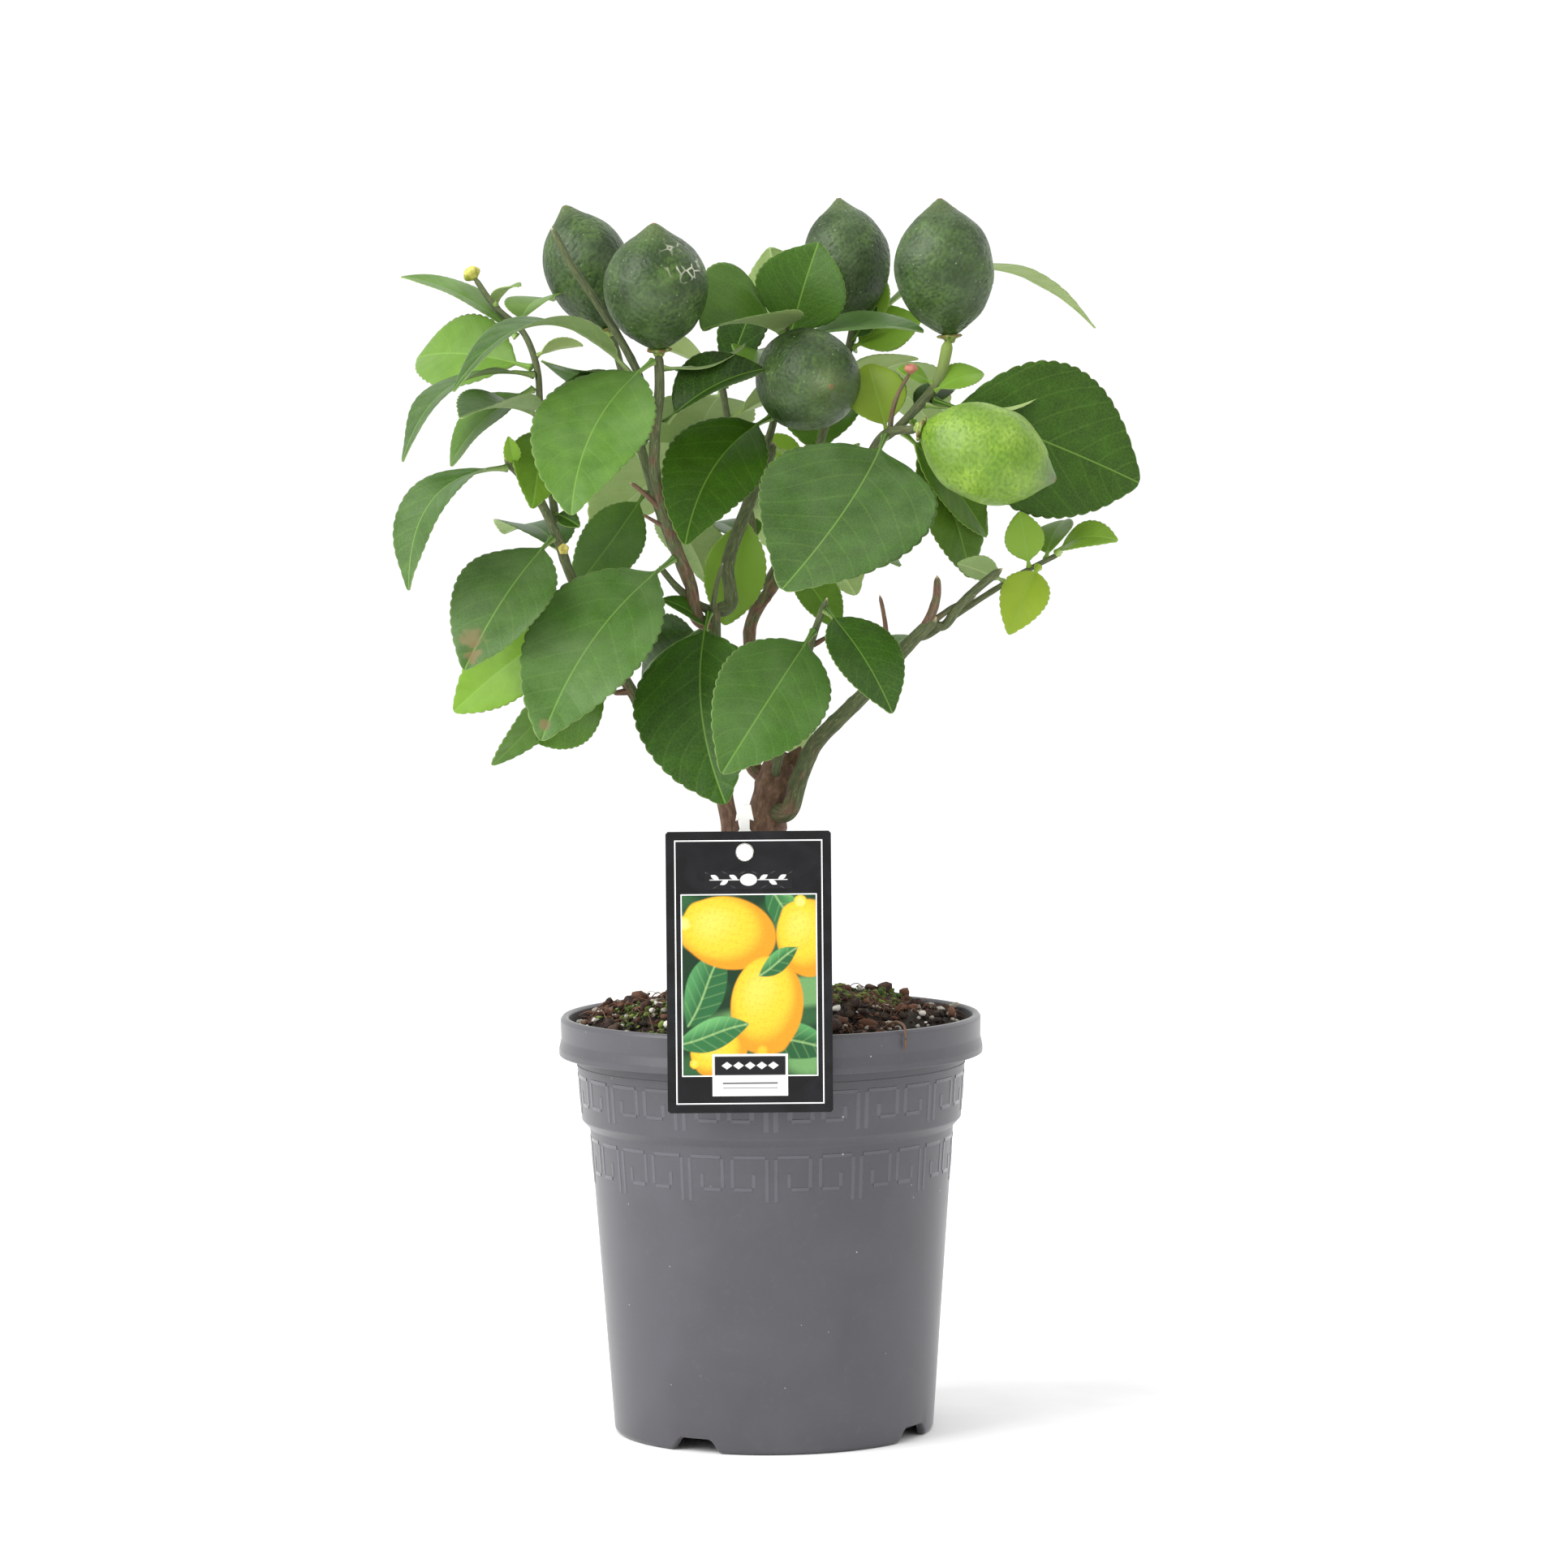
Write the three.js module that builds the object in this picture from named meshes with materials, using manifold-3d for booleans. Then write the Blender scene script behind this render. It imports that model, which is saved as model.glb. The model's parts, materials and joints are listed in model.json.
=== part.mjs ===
// A young lemon tree in a plastic nursery pot, with a hanging label on a push-in stake.
// Millimetres, +Z up. The origin is the pot's axis on the surface it stands on, and the front is -Y.
import * as THREE from "three";
import { mergeVertices } from "three/addons/utils/BufferGeometryUtils.js";
import Module from "manifold-3d";

const wasm = await Module();
wasm.setup();

// ---- driving dimensions --------------------------------------------------------------------
const gap = 0.3; // air left between pieces that touch
const potHeight = 149;
const potRimDiameter = 150;
const potBaseDiameter = 114;
const potWall = 1.5;
const rimWall = 3;
const collarHeight = 13; // the plain skirt under the lip
const shoulderHeight = 112; // the step that nested pots rest on
const shoulderDepth = 2.6;
const footHeight = 5; // how far the floor stands above the table
const footWall = 2.6;
const notchCount = 4;
const notchBottomWidth = 17;
const notchTopWidth = 12;
const notchStartAngle = -29; // degrees from the front, clockwise seen from above is positive
const drainHoleDiameter = 9;
const drainHoleCount = 6;
const drainCircleDiameter = 62;
const soilDrop = 4; // soil edge below the rim
const soilMound = 5; // soil centre above the soil edge
const soilTopMargin = 3; // bare slope left beside the rim
const trunkDiameter = 16;
const trunkRootDepth = 42;
const plantHeight = 295; // from the soil edge to the top of the highest lemon
const leafThickness = 0.8;
const petioleDiameter = 2.2;
const labelWidth = 57;
const labelHeight = 97;
const labelThickness = 0.8;
const labelHoleDiameter = 6.4;
const labelHoleDrop = 7.3; // hole centre below the label's top edge
const labelOffset = -7; // label centre to the side of the pot's axis
const labelHoleOffset = -1.2; // hole to the side of the label's centre
const labelOverlap = 26; // how far the label hangs below the rim
const labelLean = 2.8; // degrees
const stakeWidth = 6.4;
const stakeNeck = 3.4;
const stakeThickness = 1.8;
const stakeHeadHeight = 8.5; // arrowhead shown above the label
const stakeDepth = 30; // buried length
const studClearance = 0.3; // stud to the rim of the label's hole

// ---- values that follow from them ----------------------------------------------------------
const rimRadius = potRimDiameter / 2;
const baseRadius = potBaseDiameter / 2;
const collarFlare = 0.6;
const collarProud = 4.6; // the collar stands this far outside the wall under it
const soilLevel = potHeight - soilDrop;
const floorTop = footHeight + potWall;
const drawnPlantHeight = 295; // the height that the routes and lengths below are given for
const plantScale = plantHeight / drawnPlantHeight;
const petioleRadius = petioleDiameter / 2;
const up = new THREE.Vector3(0, 0, 1);

// Outer radius of the pot's wall at a height: a straight taper, with a step at the shoulder.
function wallRadius(height) {
  const top = rimRadius - collarProud;
  const taper = (top - shoulderDepth - baseRadius) / potHeight;
  const step = height > shoulderHeight ? shoulderDepth : 0;
  return baseRadius + taper * height + step;
}

// ---- helpers -------------------------------------------------------------------------------
const tree = new THREE.Group();

function addPiece(name, geometry, color, roughness) {
  const material = new THREE.MeshStandardMaterial({ color, roughness, metalness: 0 });
  const mesh = new THREE.Mesh(geometry, material);
  mesh.name = name;
  tree.add(mesh);
  return mesh;
}

// A three.js geometry as a manifold-3d solid, with its shared vertices merged.
function solid(geometry) {
  const plain = geometry.index ? geometry.toNonIndexed() : geometry.clone();
  plain.deleteAttribute("normal");
  plain.deleteAttribute("uv");
  const merged = mergeVertices(plain, 1e-3);
  const vertProperties = merged.attributes.position.array;
  const triVerts = new Uint32Array(merged.index.array);
  return new wasm.Manifold(new wasm.Mesh({ numProp: 3, vertProperties, triVerts }));
}

function geometryOf(body) {
  const mesh = body.getMesh();
  const geometry = new THREE.BufferGeometry();
  geometry.setAttribute("position", new THREE.BufferAttribute(mesh.vertProperties, 3));
  geometry.setIndex(new THREE.BufferAttribute(mesh.triVerts, 1));
  return geometry;
}

// A closed solid from rings of equal point count, with one pole point before the first ring and
// one after the last. The winding is turned round if the solid comes out inside out.
function loft(startPole, rings, endPole) {
  const sides = rings[0].length;
  const points = [startPole, ...rings.flat(), endPole];
  const last = points.length - 1;
  const faces = [];
  const at = (ring, side) => 1 + ring * sides + (side % sides);
  for (let side = 0; side < sides; side += 1) {
    faces.push([0, at(0, side + 1), at(0, side)]);
    faces.push([last, at(rings.length - 1, side), at(rings.length - 1, side + 1)]);
  }
  for (let ring = 0; ring + 1 < rings.length; ring += 1) {
    for (let side = 0; side < sides; side += 1) {
      faces.push([at(ring, side), at(ring, side + 1), at(ring + 1, side + 1)]);
      faces.push([at(ring, side), at(ring + 1, side + 1), at(ring + 1, side)]);
    }
  }
  const centre = points[0];
  let volume = 0;
  for (const [a, b, c] of faces) {
    const ab = points[b].clone().sub(points[a]);
    const ac = points[c].clone().sub(points[a]);
    volume += points[a].clone().sub(centre).dot(ab.cross(ac));
  }
  const outward = volume > 0 ? faces : faces.map(([a, b, c]) => [a, c, b]);
  const geometry = new THREE.BufferGeometry();
  const flat = points.flatMap((p) => [p.x, p.y, p.z]);
  geometry.setAttribute("position", new THREE.Float32BufferAttribute(flat, 3));
  geometry.setIndex(outward.flat());
  geometry.computeVertexNormals();
  return geometry;
}

// Unit vector for a compass heading (0 = front, 90 = right) and a rise above level, in degrees.
function aim([heading, rise]) {
  const h = THREE.MathUtils.degToRad(heading);
  const r = THREE.MathUtils.degToRad(rise);
  return new THREE.Vector3(Math.sin(h) * Math.cos(r), -Math.cos(h) * Math.cos(r), Math.sin(r));
}

// The part of a vector that is square to a unit axis, made a unit vector.
function squareTo(vector, axis) {
  return vector.clone().addScaledVector(axis, -vector.dot(axis)).normalize();
}

// Rings of a round tube along a curve. radiusAt gives the radius for a share of its length.
function tubeRings(curve, sides, steps, radiusAt) {
  const rings = [];
  let across = squareTo(new THREE.Vector3(1, 0.13, 0.07), curve.getTangentAt(0));
  for (let step = 0; step <= steps; step += 1) {
    const share = step / steps;
    const centre = curve.getPointAt(share);
    const tangent = curve.getTangentAt(share);
    across = squareTo(across, tangent);
    const other = tangent.clone().cross(across);
    const radius = radiusAt(share);
    const ring = [];
    for (let side = 0; side < sides; side += 1) {
      const turn = (2 * Math.PI * side) / sides;
      const point = centre.clone().addScaledVector(across, radius * Math.cos(turn));
      ring.push(point.addScaledVector(other, radius * Math.sin(turn)));
    }
    rings.push(ring);
  }
  return rings;
}

// A tube with low domed ends, so that each end has a pole.
function tube(curve, sides, steps, radiusAt, startDome = 0.3, endDome = 0.6) {
  const start = curve.getPointAt(0).addScaledVector(curve.getTangentAt(0), -startDome);
  const end = curve.getPointAt(1).addScaledVector(curve.getTangentAt(1), endDome);
  return loft(start, tubeRings(curve, sides, steps, radiusAt), end);
}

// A point of the plant, given from the pot's axis at soil level, in the pot's frame.
function plantPoint([right, back, rise]) {
  const point = new THREE.Vector3(right, back, rise).multiplyScalar(plantScale);
  return point.add(new THREE.Vector3(0, 0, soilLevel));
}

// ---- pot -----------------------------------------------------------------------------------
const potSegments = 48;
const footCorner = 1.2;
const footCornerCut = 0.3; // share of the corner left at its middle
const shoulderRun = 3; // height over which the step slopes
const shoulderLand = 0.1; // the step's upper edge above its nominal height
const collarHemDrop = 0.8; // the collar's lowest ring below the wall it joins
const collarHemHeight = 1.5; // from the wall it joins up to the collar's widest ring
const collarTaperHeight = 5; // where the collar has narrowed to the rim
const collarTaper = 0.2;
const lipOuterRound = [0.9, 1.2]; // across, down
const lipInnerRound = [0.7, 0.8];
const innerStepHeight = 3; // half the slope where the wall thickens into the collar
const floorCorner = 3;
const notchSpread = 0.6; // a notch widens by this at each side, one millimetre below the table
const notchDepth = 12; // how far a notch reaches in through the foot
const notchSetback = 4; // from the foot's inner face to the notch's inner end
const drainToolLength = 10;
const drainSides = 12;

function potSolid() {
  const collarBottom = potHeight - collarHeight;
  const innerWall = (height) => wallRadius(height) - potWall;
  const profile = [
    [0, footHeight],
    [baseRadius - footWall, footHeight],
    [baseRadius - footWall, 0],
    [baseRadius - footCorner, 0],
    [baseRadius - footCorner * footCornerCut, footCorner * footCornerCut],
    [wallRadius(footCorner), footCorner],
    [wallRadius(shoulderHeight - shoulderRun), shoulderHeight - shoulderRun],
    [wallRadius(shoulderHeight + shoulderLand), shoulderHeight + shoulderLand],
    [wallRadius(collarBottom), collarBottom],
    [rimRadius + collarFlare, collarBottom - collarHemDrop],
    [rimRadius + collarFlare, collarBottom + collarHemHeight],
    [rimRadius - collarTaper, collarBottom + collarTaperHeight],
    [rimRadius, potHeight - lipOuterRound[1]],
    [rimRadius - lipOuterRound[0], potHeight],
    [rimRadius - rimWall + lipInnerRound[0], potHeight],
    [rimRadius - rimWall, potHeight - lipInnerRound[1]],
    [rimRadius - rimWall, collarBottom + innerStepHeight],
    [innerWall(collarBottom - innerStepHeight), collarBottom - innerStepHeight],
    [innerWall(shoulderHeight + shoulderLand), shoulderHeight + shoulderLand],
    [innerWall(shoulderHeight - shoulderRun), shoulderHeight - shoulderRun],
    [innerWall(floorTop + floorCorner), floorTop + floorCorner],
    [innerWall(floorTop) - floorCorner, floorTop],
    [0, floorTop],
  ];
  const points = profile.map(([radius, height]) => new THREE.Vector2(radius, height));
  const turned = new THREE.LatheGeometry(points, potSegments).rotateX(Math.PI / 2);
  let body = solid(turned);
  for (let index = 0; index < notchCount; index += 1) {
    const angle = THREE.MathUtils.degToRad(notchStartAngle + (360 / notchCount) * index);
    const outline = new THREE.Shape([
      new THREE.Vector2(-notchBottomWidth / 2 - notchSpread, -1),
      new THREE.Vector2(notchBottomWidth / 2 + notchSpread, -1),
      new THREE.Vector2(notchTopWidth / 2, footHeight - gap),
      new THREE.Vector2(-notchTopWidth / 2, footHeight - gap),
    ]);
    const cut = new THREE.ExtrudeGeometry(outline, { depth: notchDepth, bevelEnabled: false });
    cut.rotateX(Math.PI / 2);
    cut.translate(0, -(baseRadius - footWall - notchSetback), 0);
    cut.rotateZ(angle);
    body = body.subtract(solid(cut));
  }
  for (let index = 0; index < drainHoleCount; index += 1) {
    const angle = ((index + 0.5) / drainHoleCount) * 2 * Math.PI;
    const radius = drainHoleDiameter / 2;
    const hole = new THREE.CylinderGeometry(radius, radius, drainToolLength, drainSides);
    hole.rotateX(Math.PI / 2);
    hole.translate(
      (drainCircleDiameter / 2) * Math.cos(angle),
      (drainCircleDiameter / 2) * Math.sin(angle),
      footHeight,
    );
    body = body.subtract(solid(hole));
  }
  return body;
}
addPiece("pot", geometryOf(potSolid()), "#6c6b70", 0.55);

// ---- trunk ---------------------------------------------------------------------------------
// The trunk leans a little and ends in a broken stump, above where the branches leave it.
const trunkCurve = new THREE.CatmullRomCurve3(
  [
    plantPoint([-3, 0, 0]).add(new THREE.Vector3(0, 0, -trunkRootDepth)),
    plantPoint([-4, 1, 20]),
    plantPoint([-3, 1, 55]),
    plantPoint([0, 0, 78]),
    plantPoint([7, 1, 97]),
  ],
  false,
  "centripetal",
);
const trunkRadius = trunkDiameter / 2;
// The bole keeps its girth to the branches, then the stump above them narrows a little.
const stumpStart = 0.86;
const stumpGirth = 0.82;
const trunkTaper = 0.06;
const trunkRadiusAt = (share) =>
  trunkRadius * (share > stumpStart ? stumpGirth : 1 - trunkTaper * share);
const trunkSides = 10;
const trunkSteps = 9;
addPiece("trunk", tube(trunkCurve, trunkSides, trunkSteps, trunkRadiusAt, 3, 1.6), "#7d5a44", 0.9);

// ---- stems ---------------------------------------------------------------------------------
// Each row: name, parent, share of the parent's length where it leaves, radius at its start and
// its end, colour, then its route after the start: points from the axis at soil level.
const bark = "#6f6350";
const greenBark = "#4f5f45";
const stems = new Map();
stems.set("trunk", { curve: trunkCurve, radiusAt: trunkRadiusAt });

const stemRows = [
  ["stem_left_main", "trunk", 0.74, 3.2, 2.8, bark,
    [[-16, -12, 84], [-19, -15, 120], [-19, -14, 151]]],
  ["stem_left_green", "stem_left_main", 0.985, 2.4, 2.1, greenBark,
    [[-13, -10, 170], [-8, -6, 181], [-2, -3, 196], [3, 0, 207]]],
  ["stem_left_brown", "stem_left_main", 0.93, 2.3, 1.7, bark,
    [[-28, -20, 162], [-32, -24, 172], [-38, -29, 193], [-39, -31, 206], [-37, -31, 222],
      [-37, -28, 239]]],
  ["stem_far_left", "stem_left_main", 0.3, 2.3, 1.5, bark,
    [[-28, -18, 97], [-40, -22, 109], [-54, -25, 132], [-68, -27, 160], [-73, -27, 175],
      [-84, -29, 196], [-91, -31, 203]]],
  ["stem_left_top", "stem_far_left", 0.8, 1.4, 1.0, greenBark,
    [[-76, -16, 194], [-79, -10, 211], [-80, -7, 228], [-82, -4, 242], [-89, -2, 251],
      [-97, 2, 258], [-103, 6, 267]]],
  ["stem_centre", "trunk", 0.93, 2.6, 1.5, bark,
    [[-5, 10, 118], [-6, 9, 142], [4, 6, 159], [19, 0, 181], [34, -10, 198], [43, -20, 211],
      [53, -32, 212]]],
  ["stem_fruit_right", "stem_centre", 0.87, 1.3, 2.2, greenBark,
    [[52, -14, 218], [59, -10, 225], [63, -8, 234], [65, -6, 243]]],
  ["stem_rear", "stem_centre", 0.42, 1.8, 1.4, greenBark,
    [[12, 25, 181], [19, 34, 205], [29, 38, 235], [32, 36, 249]]],
  ["stem_rear_left", "stem_left_brown", 0.14, 1.8, 1.4, greenBark,
    [[-37, 2, 181], [-42, 16, 196], [-49, 25, 224], [-55, 24, 247]]],
  ["stem_mid_top", "stem_left_green", 0.75, 1.4, 1.2, greenBark,
    [[1, 6, 208], [5, 8, 224], [7, 9, 238], [8, 9, 250]]],
  ["stem_cut_shoot", "stem_left_brown", 0.8, 1.5, 1.3, greenBark,
    [[-46, -22, 236], [-56, -20, 253], [-69, -20, 273], [-74, -20, 283]]],
  ["branch_right", "trunk", 0.86, 3.2, 2.2, greenBark,
    [[16, -12, 100], [27, -18, 112], [36, -22, 121], [49, -28, 136], [59, -32, 146]]],
  ["twig_right_cut", "branch_right", 0.985, 1.6, 1.5, greenBark,
    [[71, -34, 154], [82, -36, 163]]],
  ["twig_right_long", "branch_right", 0.9, 1.2, 0.9, greenBark,
    [[73, -24, 151], [88, -20, 160], [104, -16, 168]]],
  ["twig_low", "trunk", 0.95, 1.6, 1.2, greenBark,
    [[11, -20, 121], [16, -28, 139], [18, -31, 146], [21, -34, 153]]],
  ["stem_back", "stem_centre", 0.3, 1.8, 1.2, greenBark,
    [[-4, 26, 158], [-6, 38, 182], [-12, 44, 206], [-16, 44, 230]]],
];
const stemSides = 8;

for (const [name, parentName, share, startRadius, endRadius, color, route] of stemRows) {
  const parent = stems.get(parentName);
  const fork = parent.curve.getPointAt(share);
  const first = plantPoint(route[0]);
  const away = squareTo(first.clone().sub(fork), parent.curve.getTangentAt(share));
  const heading = first.clone().sub(fork).normalize();
  const lean = Math.sqrt(1 - Math.min(1, away.dot(heading) ** 2));
  const reach = parent.radiusAt(share) + gap * 2 + startRadius * lean;
  const start = fork.addScaledVector(away, reach);
  const points = [start, ...route.map(plantPoint)];
  const curve = new THREE.CatmullRomCurve3(points, false, "centripetal");
  const radiusAt = (along) => startRadius + (endRadius - startRadius) * along;
  const steps = Math.max(3, Math.min(9, Math.round(curve.getLength() / 14)));
  stems.set(name, { curve, radiusAt });
  addPiece(name, tube(curve, stemSides, steps, radiusAt), color, 0.8);
}

const seatSlack = 0.2; // air for the low dome under a stalk
const stemEndDome = 0.6;

// A place on a stem's surface, for what grows there in a given direction.
function seat(stemName, share, direction, stalkRadius) {
  const { curve, radiusAt } = stems.get(stemName);
  const tangent = curve.getTangentAt(share);
  const point = curve.getPointAt(share);
  const away = squareTo(direction, tangent);
  const lean = Math.sqrt(1 - Math.min(1, away.dot(direction) ** 2));
  return point.addScaledVector(away, radiusAt(share) + gap + stalkRadius * lean + seatSlack);
}

// ---- lemons --------------------------------------------------------------------------------
// Outline from the stem end to the nipple: share of the length, share of the radius.
const lemonOutline = [
  [0, 0.13],
  [0.05, 0.36],
  [0.15, 0.68],
  [0.3, 0.91],
  [0.47, 1],
  [0.63, 0.95],
  [0.77, 0.76],
  [0.87, 0.5],
  [0.935, 0.26],
  [0.98, 0.12],
];
const lemonSides = 12;
const lemonSeatRadius = 3; // of the stalk end that sits against the side of a stem
const lemonFirstRing = 0.4; // from a lemon's foot to its first ring

// Each row: name, the stem it grows on, direction of its axis, length, diameter, how far beyond
// the stem's end it starts, colour.
const lemonRows = [
  ["lemon_left_rear", "stem_rear_left", [-108, 69], 47, 31, "#4d7040"],
  ["lemon_left_front", "stem_left_brown", [-8, 80], 44, 36.5, "#4d7040"],
  ["lemon_middle_front", "stem_mid_top", [20, -6], 47, 36, "#466a3c"],
  ["lemon_middle_rear", "stem_rear", [-120, 82], 44, 31, "#4d7040"],
  ["lemon_right_top", "stem_fruit_right", [-70, 86], 48, 35, "#4d7040"],
  ["lemon_right_front", "stem_centre", [80, -21], 50, 34.5, "#8fb53f"],
];
const lemonSeats = { lemon_middle_front: 0.7 };

for (const [name, stemName, axisAim, length, diameter, color] of lemonRows) {
  const axis = aim(axisAim);
  const size = plantScale;
  const share = lemonSeats[name];
  const { curve } = stems.get(stemName);
  const tangent = curve.getTangentAt(1);
  const rimLift = (lemonOutline[0][1] * diameter * size * 0.5) * Math.sin(tangent.angleTo(axis));
  const tipStart = curve.getPointAt(1).addScaledVector(tangent, stemEndDome + gap + rimLift);
  const calyx = share === undefined ? tipStart : seat(stemName, share, axis, lemonSeatRadius);
  const across = squareTo(Math.abs(axis.z) > 0.9 ? new THREE.Vector3(1, 0, 0) : up, axis);
  const other = axis.clone().cross(across);
  const rings = lemonOutline.map(([along, out]) => {
    const centre = calyx.clone().addScaledVector(axis, along * length * size + lemonFirstRing);
    const radius = (out * diameter * size) / 2;
    const ring = [];
    for (let side = 0; side < lemonSides; side += 1) {
      const turn = (2 * Math.PI * side) / lemonSides;
      const point = centre.clone().addScaledVector(across, radius * Math.cos(turn));
      ring.push(point.addScaledVector(other, radius * Math.sin(turn)));
    }
    return ring;
  });
  const nipple = calyx.clone().addScaledVector(axis, length * size + lemonFirstRing);
  addPiece(name, loft(calyx, rings, nipple), color, 0.5);
}

// ---- leaves --------------------------------------------------------------------------------
// Each leaf is a thin petiole and a blade that is folded a little along its midrib.
// Stations along the leaf: share of its length, share of its half width. The first two are the
// petiole, and the tip is the far pole.
const leafStations = [
  [0, 0],
  [0.09, 0],
  [0.16, 0.34],
  [0.3, 0.8],
  [0.47, 1],
  [0.64, 0.93],
  [0.8, 0.66],
  [0.92, 0.32],
];

const quarterShare = 0.52; // where each half of the blade has its middle points
const quarterLift = 0.9; // their share of the fold's rise

// toward: heading and rise of the straight line from the leaf's foot to its tip.
// face: heading and rise that its upper side looks at.
// arch lifts the middle of the midrib off that line, and sweep moves it sideways in the blade.
// fold is the angle that each half of the blade turns up by.
function leaf(name, stemName, share, toward, length, width, face, shape = {}, color = "#4f8f3a") {
  const { arch = 4, sweep = 0, fold = 10, keel = 0.5 } = shape;
  const along = aim(toward);
  const top = squareTo(aim(face), along);
  const side = along.clone().cross(top);
  const size = plantScale;
  const leaving = along.clone().multiplyScalar(length);
  leaving.addScaledVector(top, 4 * arch).addScaledVector(side, 4 * sweep).normalize();
  const foot = seat(stemName, share, leaving, petioleRadius);
  const midrib = (t) => {
    const bow = 4 * t * (1 - t) * size;
    const point = foot.clone().addScaledVector(along, t * length * size);
    return point.addScaledVector(top, arch * bow).addScaledVector(side, sweep * bow);
  };
  const lift = Math.tan(THREE.MathUtils.degToRad(fold));
  const half = leafThickness / 2;
  const rings = leafStations.map(([t, widthShare]) => {
    const centre = midrib(t);
    const tangent = midrib(t + 0.01).sub(midrib(t - 0.01)).normalize();
    const out = squareTo(side, tangent);
    const normal = out.clone().cross(tangent);
    const place = (x, z) => centre.clone().addScaledVector(out, x).addScaledVector(normal, z);
    if (widthShare === 0) {
      const ring = [];
      for (let index = 0; index < 8; index += 1) {
        const turn = (Math.PI * index) / 4;
        ring.push(place(petioleRadius * Math.cos(turn), petioleRadius * Math.sin(turn)));
      }
      return ring;
    }
    const edge = (widthShare * width * size) / 2;
    const quarter = edge * quarterShare;
    const rise = quarter * lift * quarterLift;
    return [
      place(edge, edge * lift),
      place(quarter, rise + half),
      place(0, half),
      place(-quarter, rise + half),
      place(-edge, edge * lift),
      place(-quarter, rise - half),
      place(0, -half - keel),
      place(quarter, rise - half),
    ];
  });
  const base = foot.clone().addScaledVector(midrib(0.01).sub(foot).normalize(), -seatSlack);
  addPiece(name, loft(base, rings, midrib(1)), color, 0.45);
}

const pale = "#a9c27f";
const dark = "#2f5a2a";
const bright = "#5fa03a";

// Leaves of the left top.
leaf("leaf_left_narrow", "stem_left_top", 0.72, [-105, 27], 48, 24, [60, 60], { arch: 4 }, pale);
leaf("leaf_left_back", "stem_left_top", 0.58, [-128, 4], 54, 30, [-20, 30], { arch: 6 }, pale);
leaf("leaf_left_arched", "stem_left_top", 0.55, [-60, -30], 60, 24, [-60, 55], { arch: 13 });
leaf("leaf_left_drooping", "stem_left_top", 0.5, [-82, -42], 40, 28, [-60, 30], {}, pale);
leaf("leaf_left_folded", "stem_left_top", 0.4, [-26, 0], 56, 24, [0, 75], { fold: 22 }, dark);
leaf("leaf_left_long", "stem_cut_shoot", 0.14, [-58, -2], 74, 28, [-56, 80], { arch: 22 }, dark);
leaf("leaf_left_hanging", "stem_far_left", 0.985, [-55, -46], 58, 26, [-50, 40], { arch: 15 });
leaf("leaf_left_inner", "stem_left_top", 0.36, [-5, -48], 38, 20, [20, 40], {}, bright);
// Leaves of the left side.
leaf("leaf_left_low", "stem_far_left", 0.76, [-48, -48], 60, 36, [-20, 20], { arch: 5 });
leaf("leaf_left_front", "stem_left_brown", 0.26, [-44, -43], 89, 44, [-15, 20], { sweep: 5 });
leaf("leaf_left_under", "stem_far_left", 0.39, [-110, -42], 38, 30, [-10, 20], { arch: 4 });
leaf("leaf_left_shaded", "stem_rear_left", 0.42, [-72, -52], 44, 22, [20, 10], {});
leaf("leaf_left_dark", "stem_left_main", 0.9, [-145, -25], 45, 26, [0, 30], {}, dark);
// Leaves of the middle.
leaf("leaf_middle_upper_left", "stem_left_brown", 0.97, [-28, -42], 78, 41, [-10, 35], { sweep: 6 },
  bright);
leaf("leaf_middle_small", "stem_mid_top", 0.42, [-30, -36], 74, 34, [5, 30], { sweep: 6 }, bright);
leaf("leaf_middle_dark", "stem_left_brown", 0.76, [104, 27], 40, 27, [-10, 60], { fold: 25 }, dark);
leaf("leaf_middle_folded", "stem_mid_top", 0.93, [-48, 2], 38, 42, [-25, 40], { fold: 35 });
leaf("leaf_middle_upright", "stem_mid_top", 0.9, [72, 72], 36, 34, [-10, 15], { arch: 2 }, bright);
leaf("leaf_middle_side", "stem_mid_top", 0.88, [78, 4], 48, 28, [20, 75], {});
leaf("leaf_low_long", "stem_left_main", 0.962, [8, -58], 76, 46, [-10, 15], { sweep: 5 }, dark);
leaf("leaf_low_front", "twig_low", 0.82, [-38, -42], 70, 39, [5, 15], { arch: 5 });
leaf("leaf_low_right", "twig_low", 0.95, [50, -50], 46, 26, [20, 35], { fold: 16 });
leaf("leaf_centre_front", "stem_centre", 0.9, [-29, -34], 91, 61, [-5, 20], { sweep: -4 });
// Leaves of the right.
leaf("leaf_right_behind", "stem_fruit_right", 0.25, [115, -68], 60, 27, [30, 15], {});
leaf("leaf_right_large", "stem_fruit_right", 0.5, [101, -22], 80, 55, [0, 12], { arch: 6 });
leaf("leaf_right_long", "stem_rear", 0.97, [105, 1], 90, 24, [105, 80], { arch: 23 }, pale);
leaf("leaf_right_twig_end", "twig_right_long", 0.97, [50, 10], 27, 16, [0, 50], {});
leaf("leaf_right_twig_low", "twig_right_long", 0.82, [-35, -50], 30, 17, [0, 20], {}, bright);
// Leaves of the back.
leaf("leaf_back_left", "stem_back", 0.75, [-120, -30], 68, 40, [-150, 40], { arch: 8 });
leaf("leaf_back_middle", "stem_back", 0.95, [-160, -38], 54, 38, [180, 50], { arch: 8 });
leaf("leaf_back_right", "stem_back", 0.6, [130, -38], 66, 42, [165, 30], { arch: 8 });
leaf("leaf_back_low", "stem_centre", 0.2, [165, -26], 68, 42, [180, 30], { arch: 6 });
leaf("leaf_back_high", "stem_rear", 0.8, [140, -20], 60, 38, [160, 50], { arch: 10 });

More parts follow.
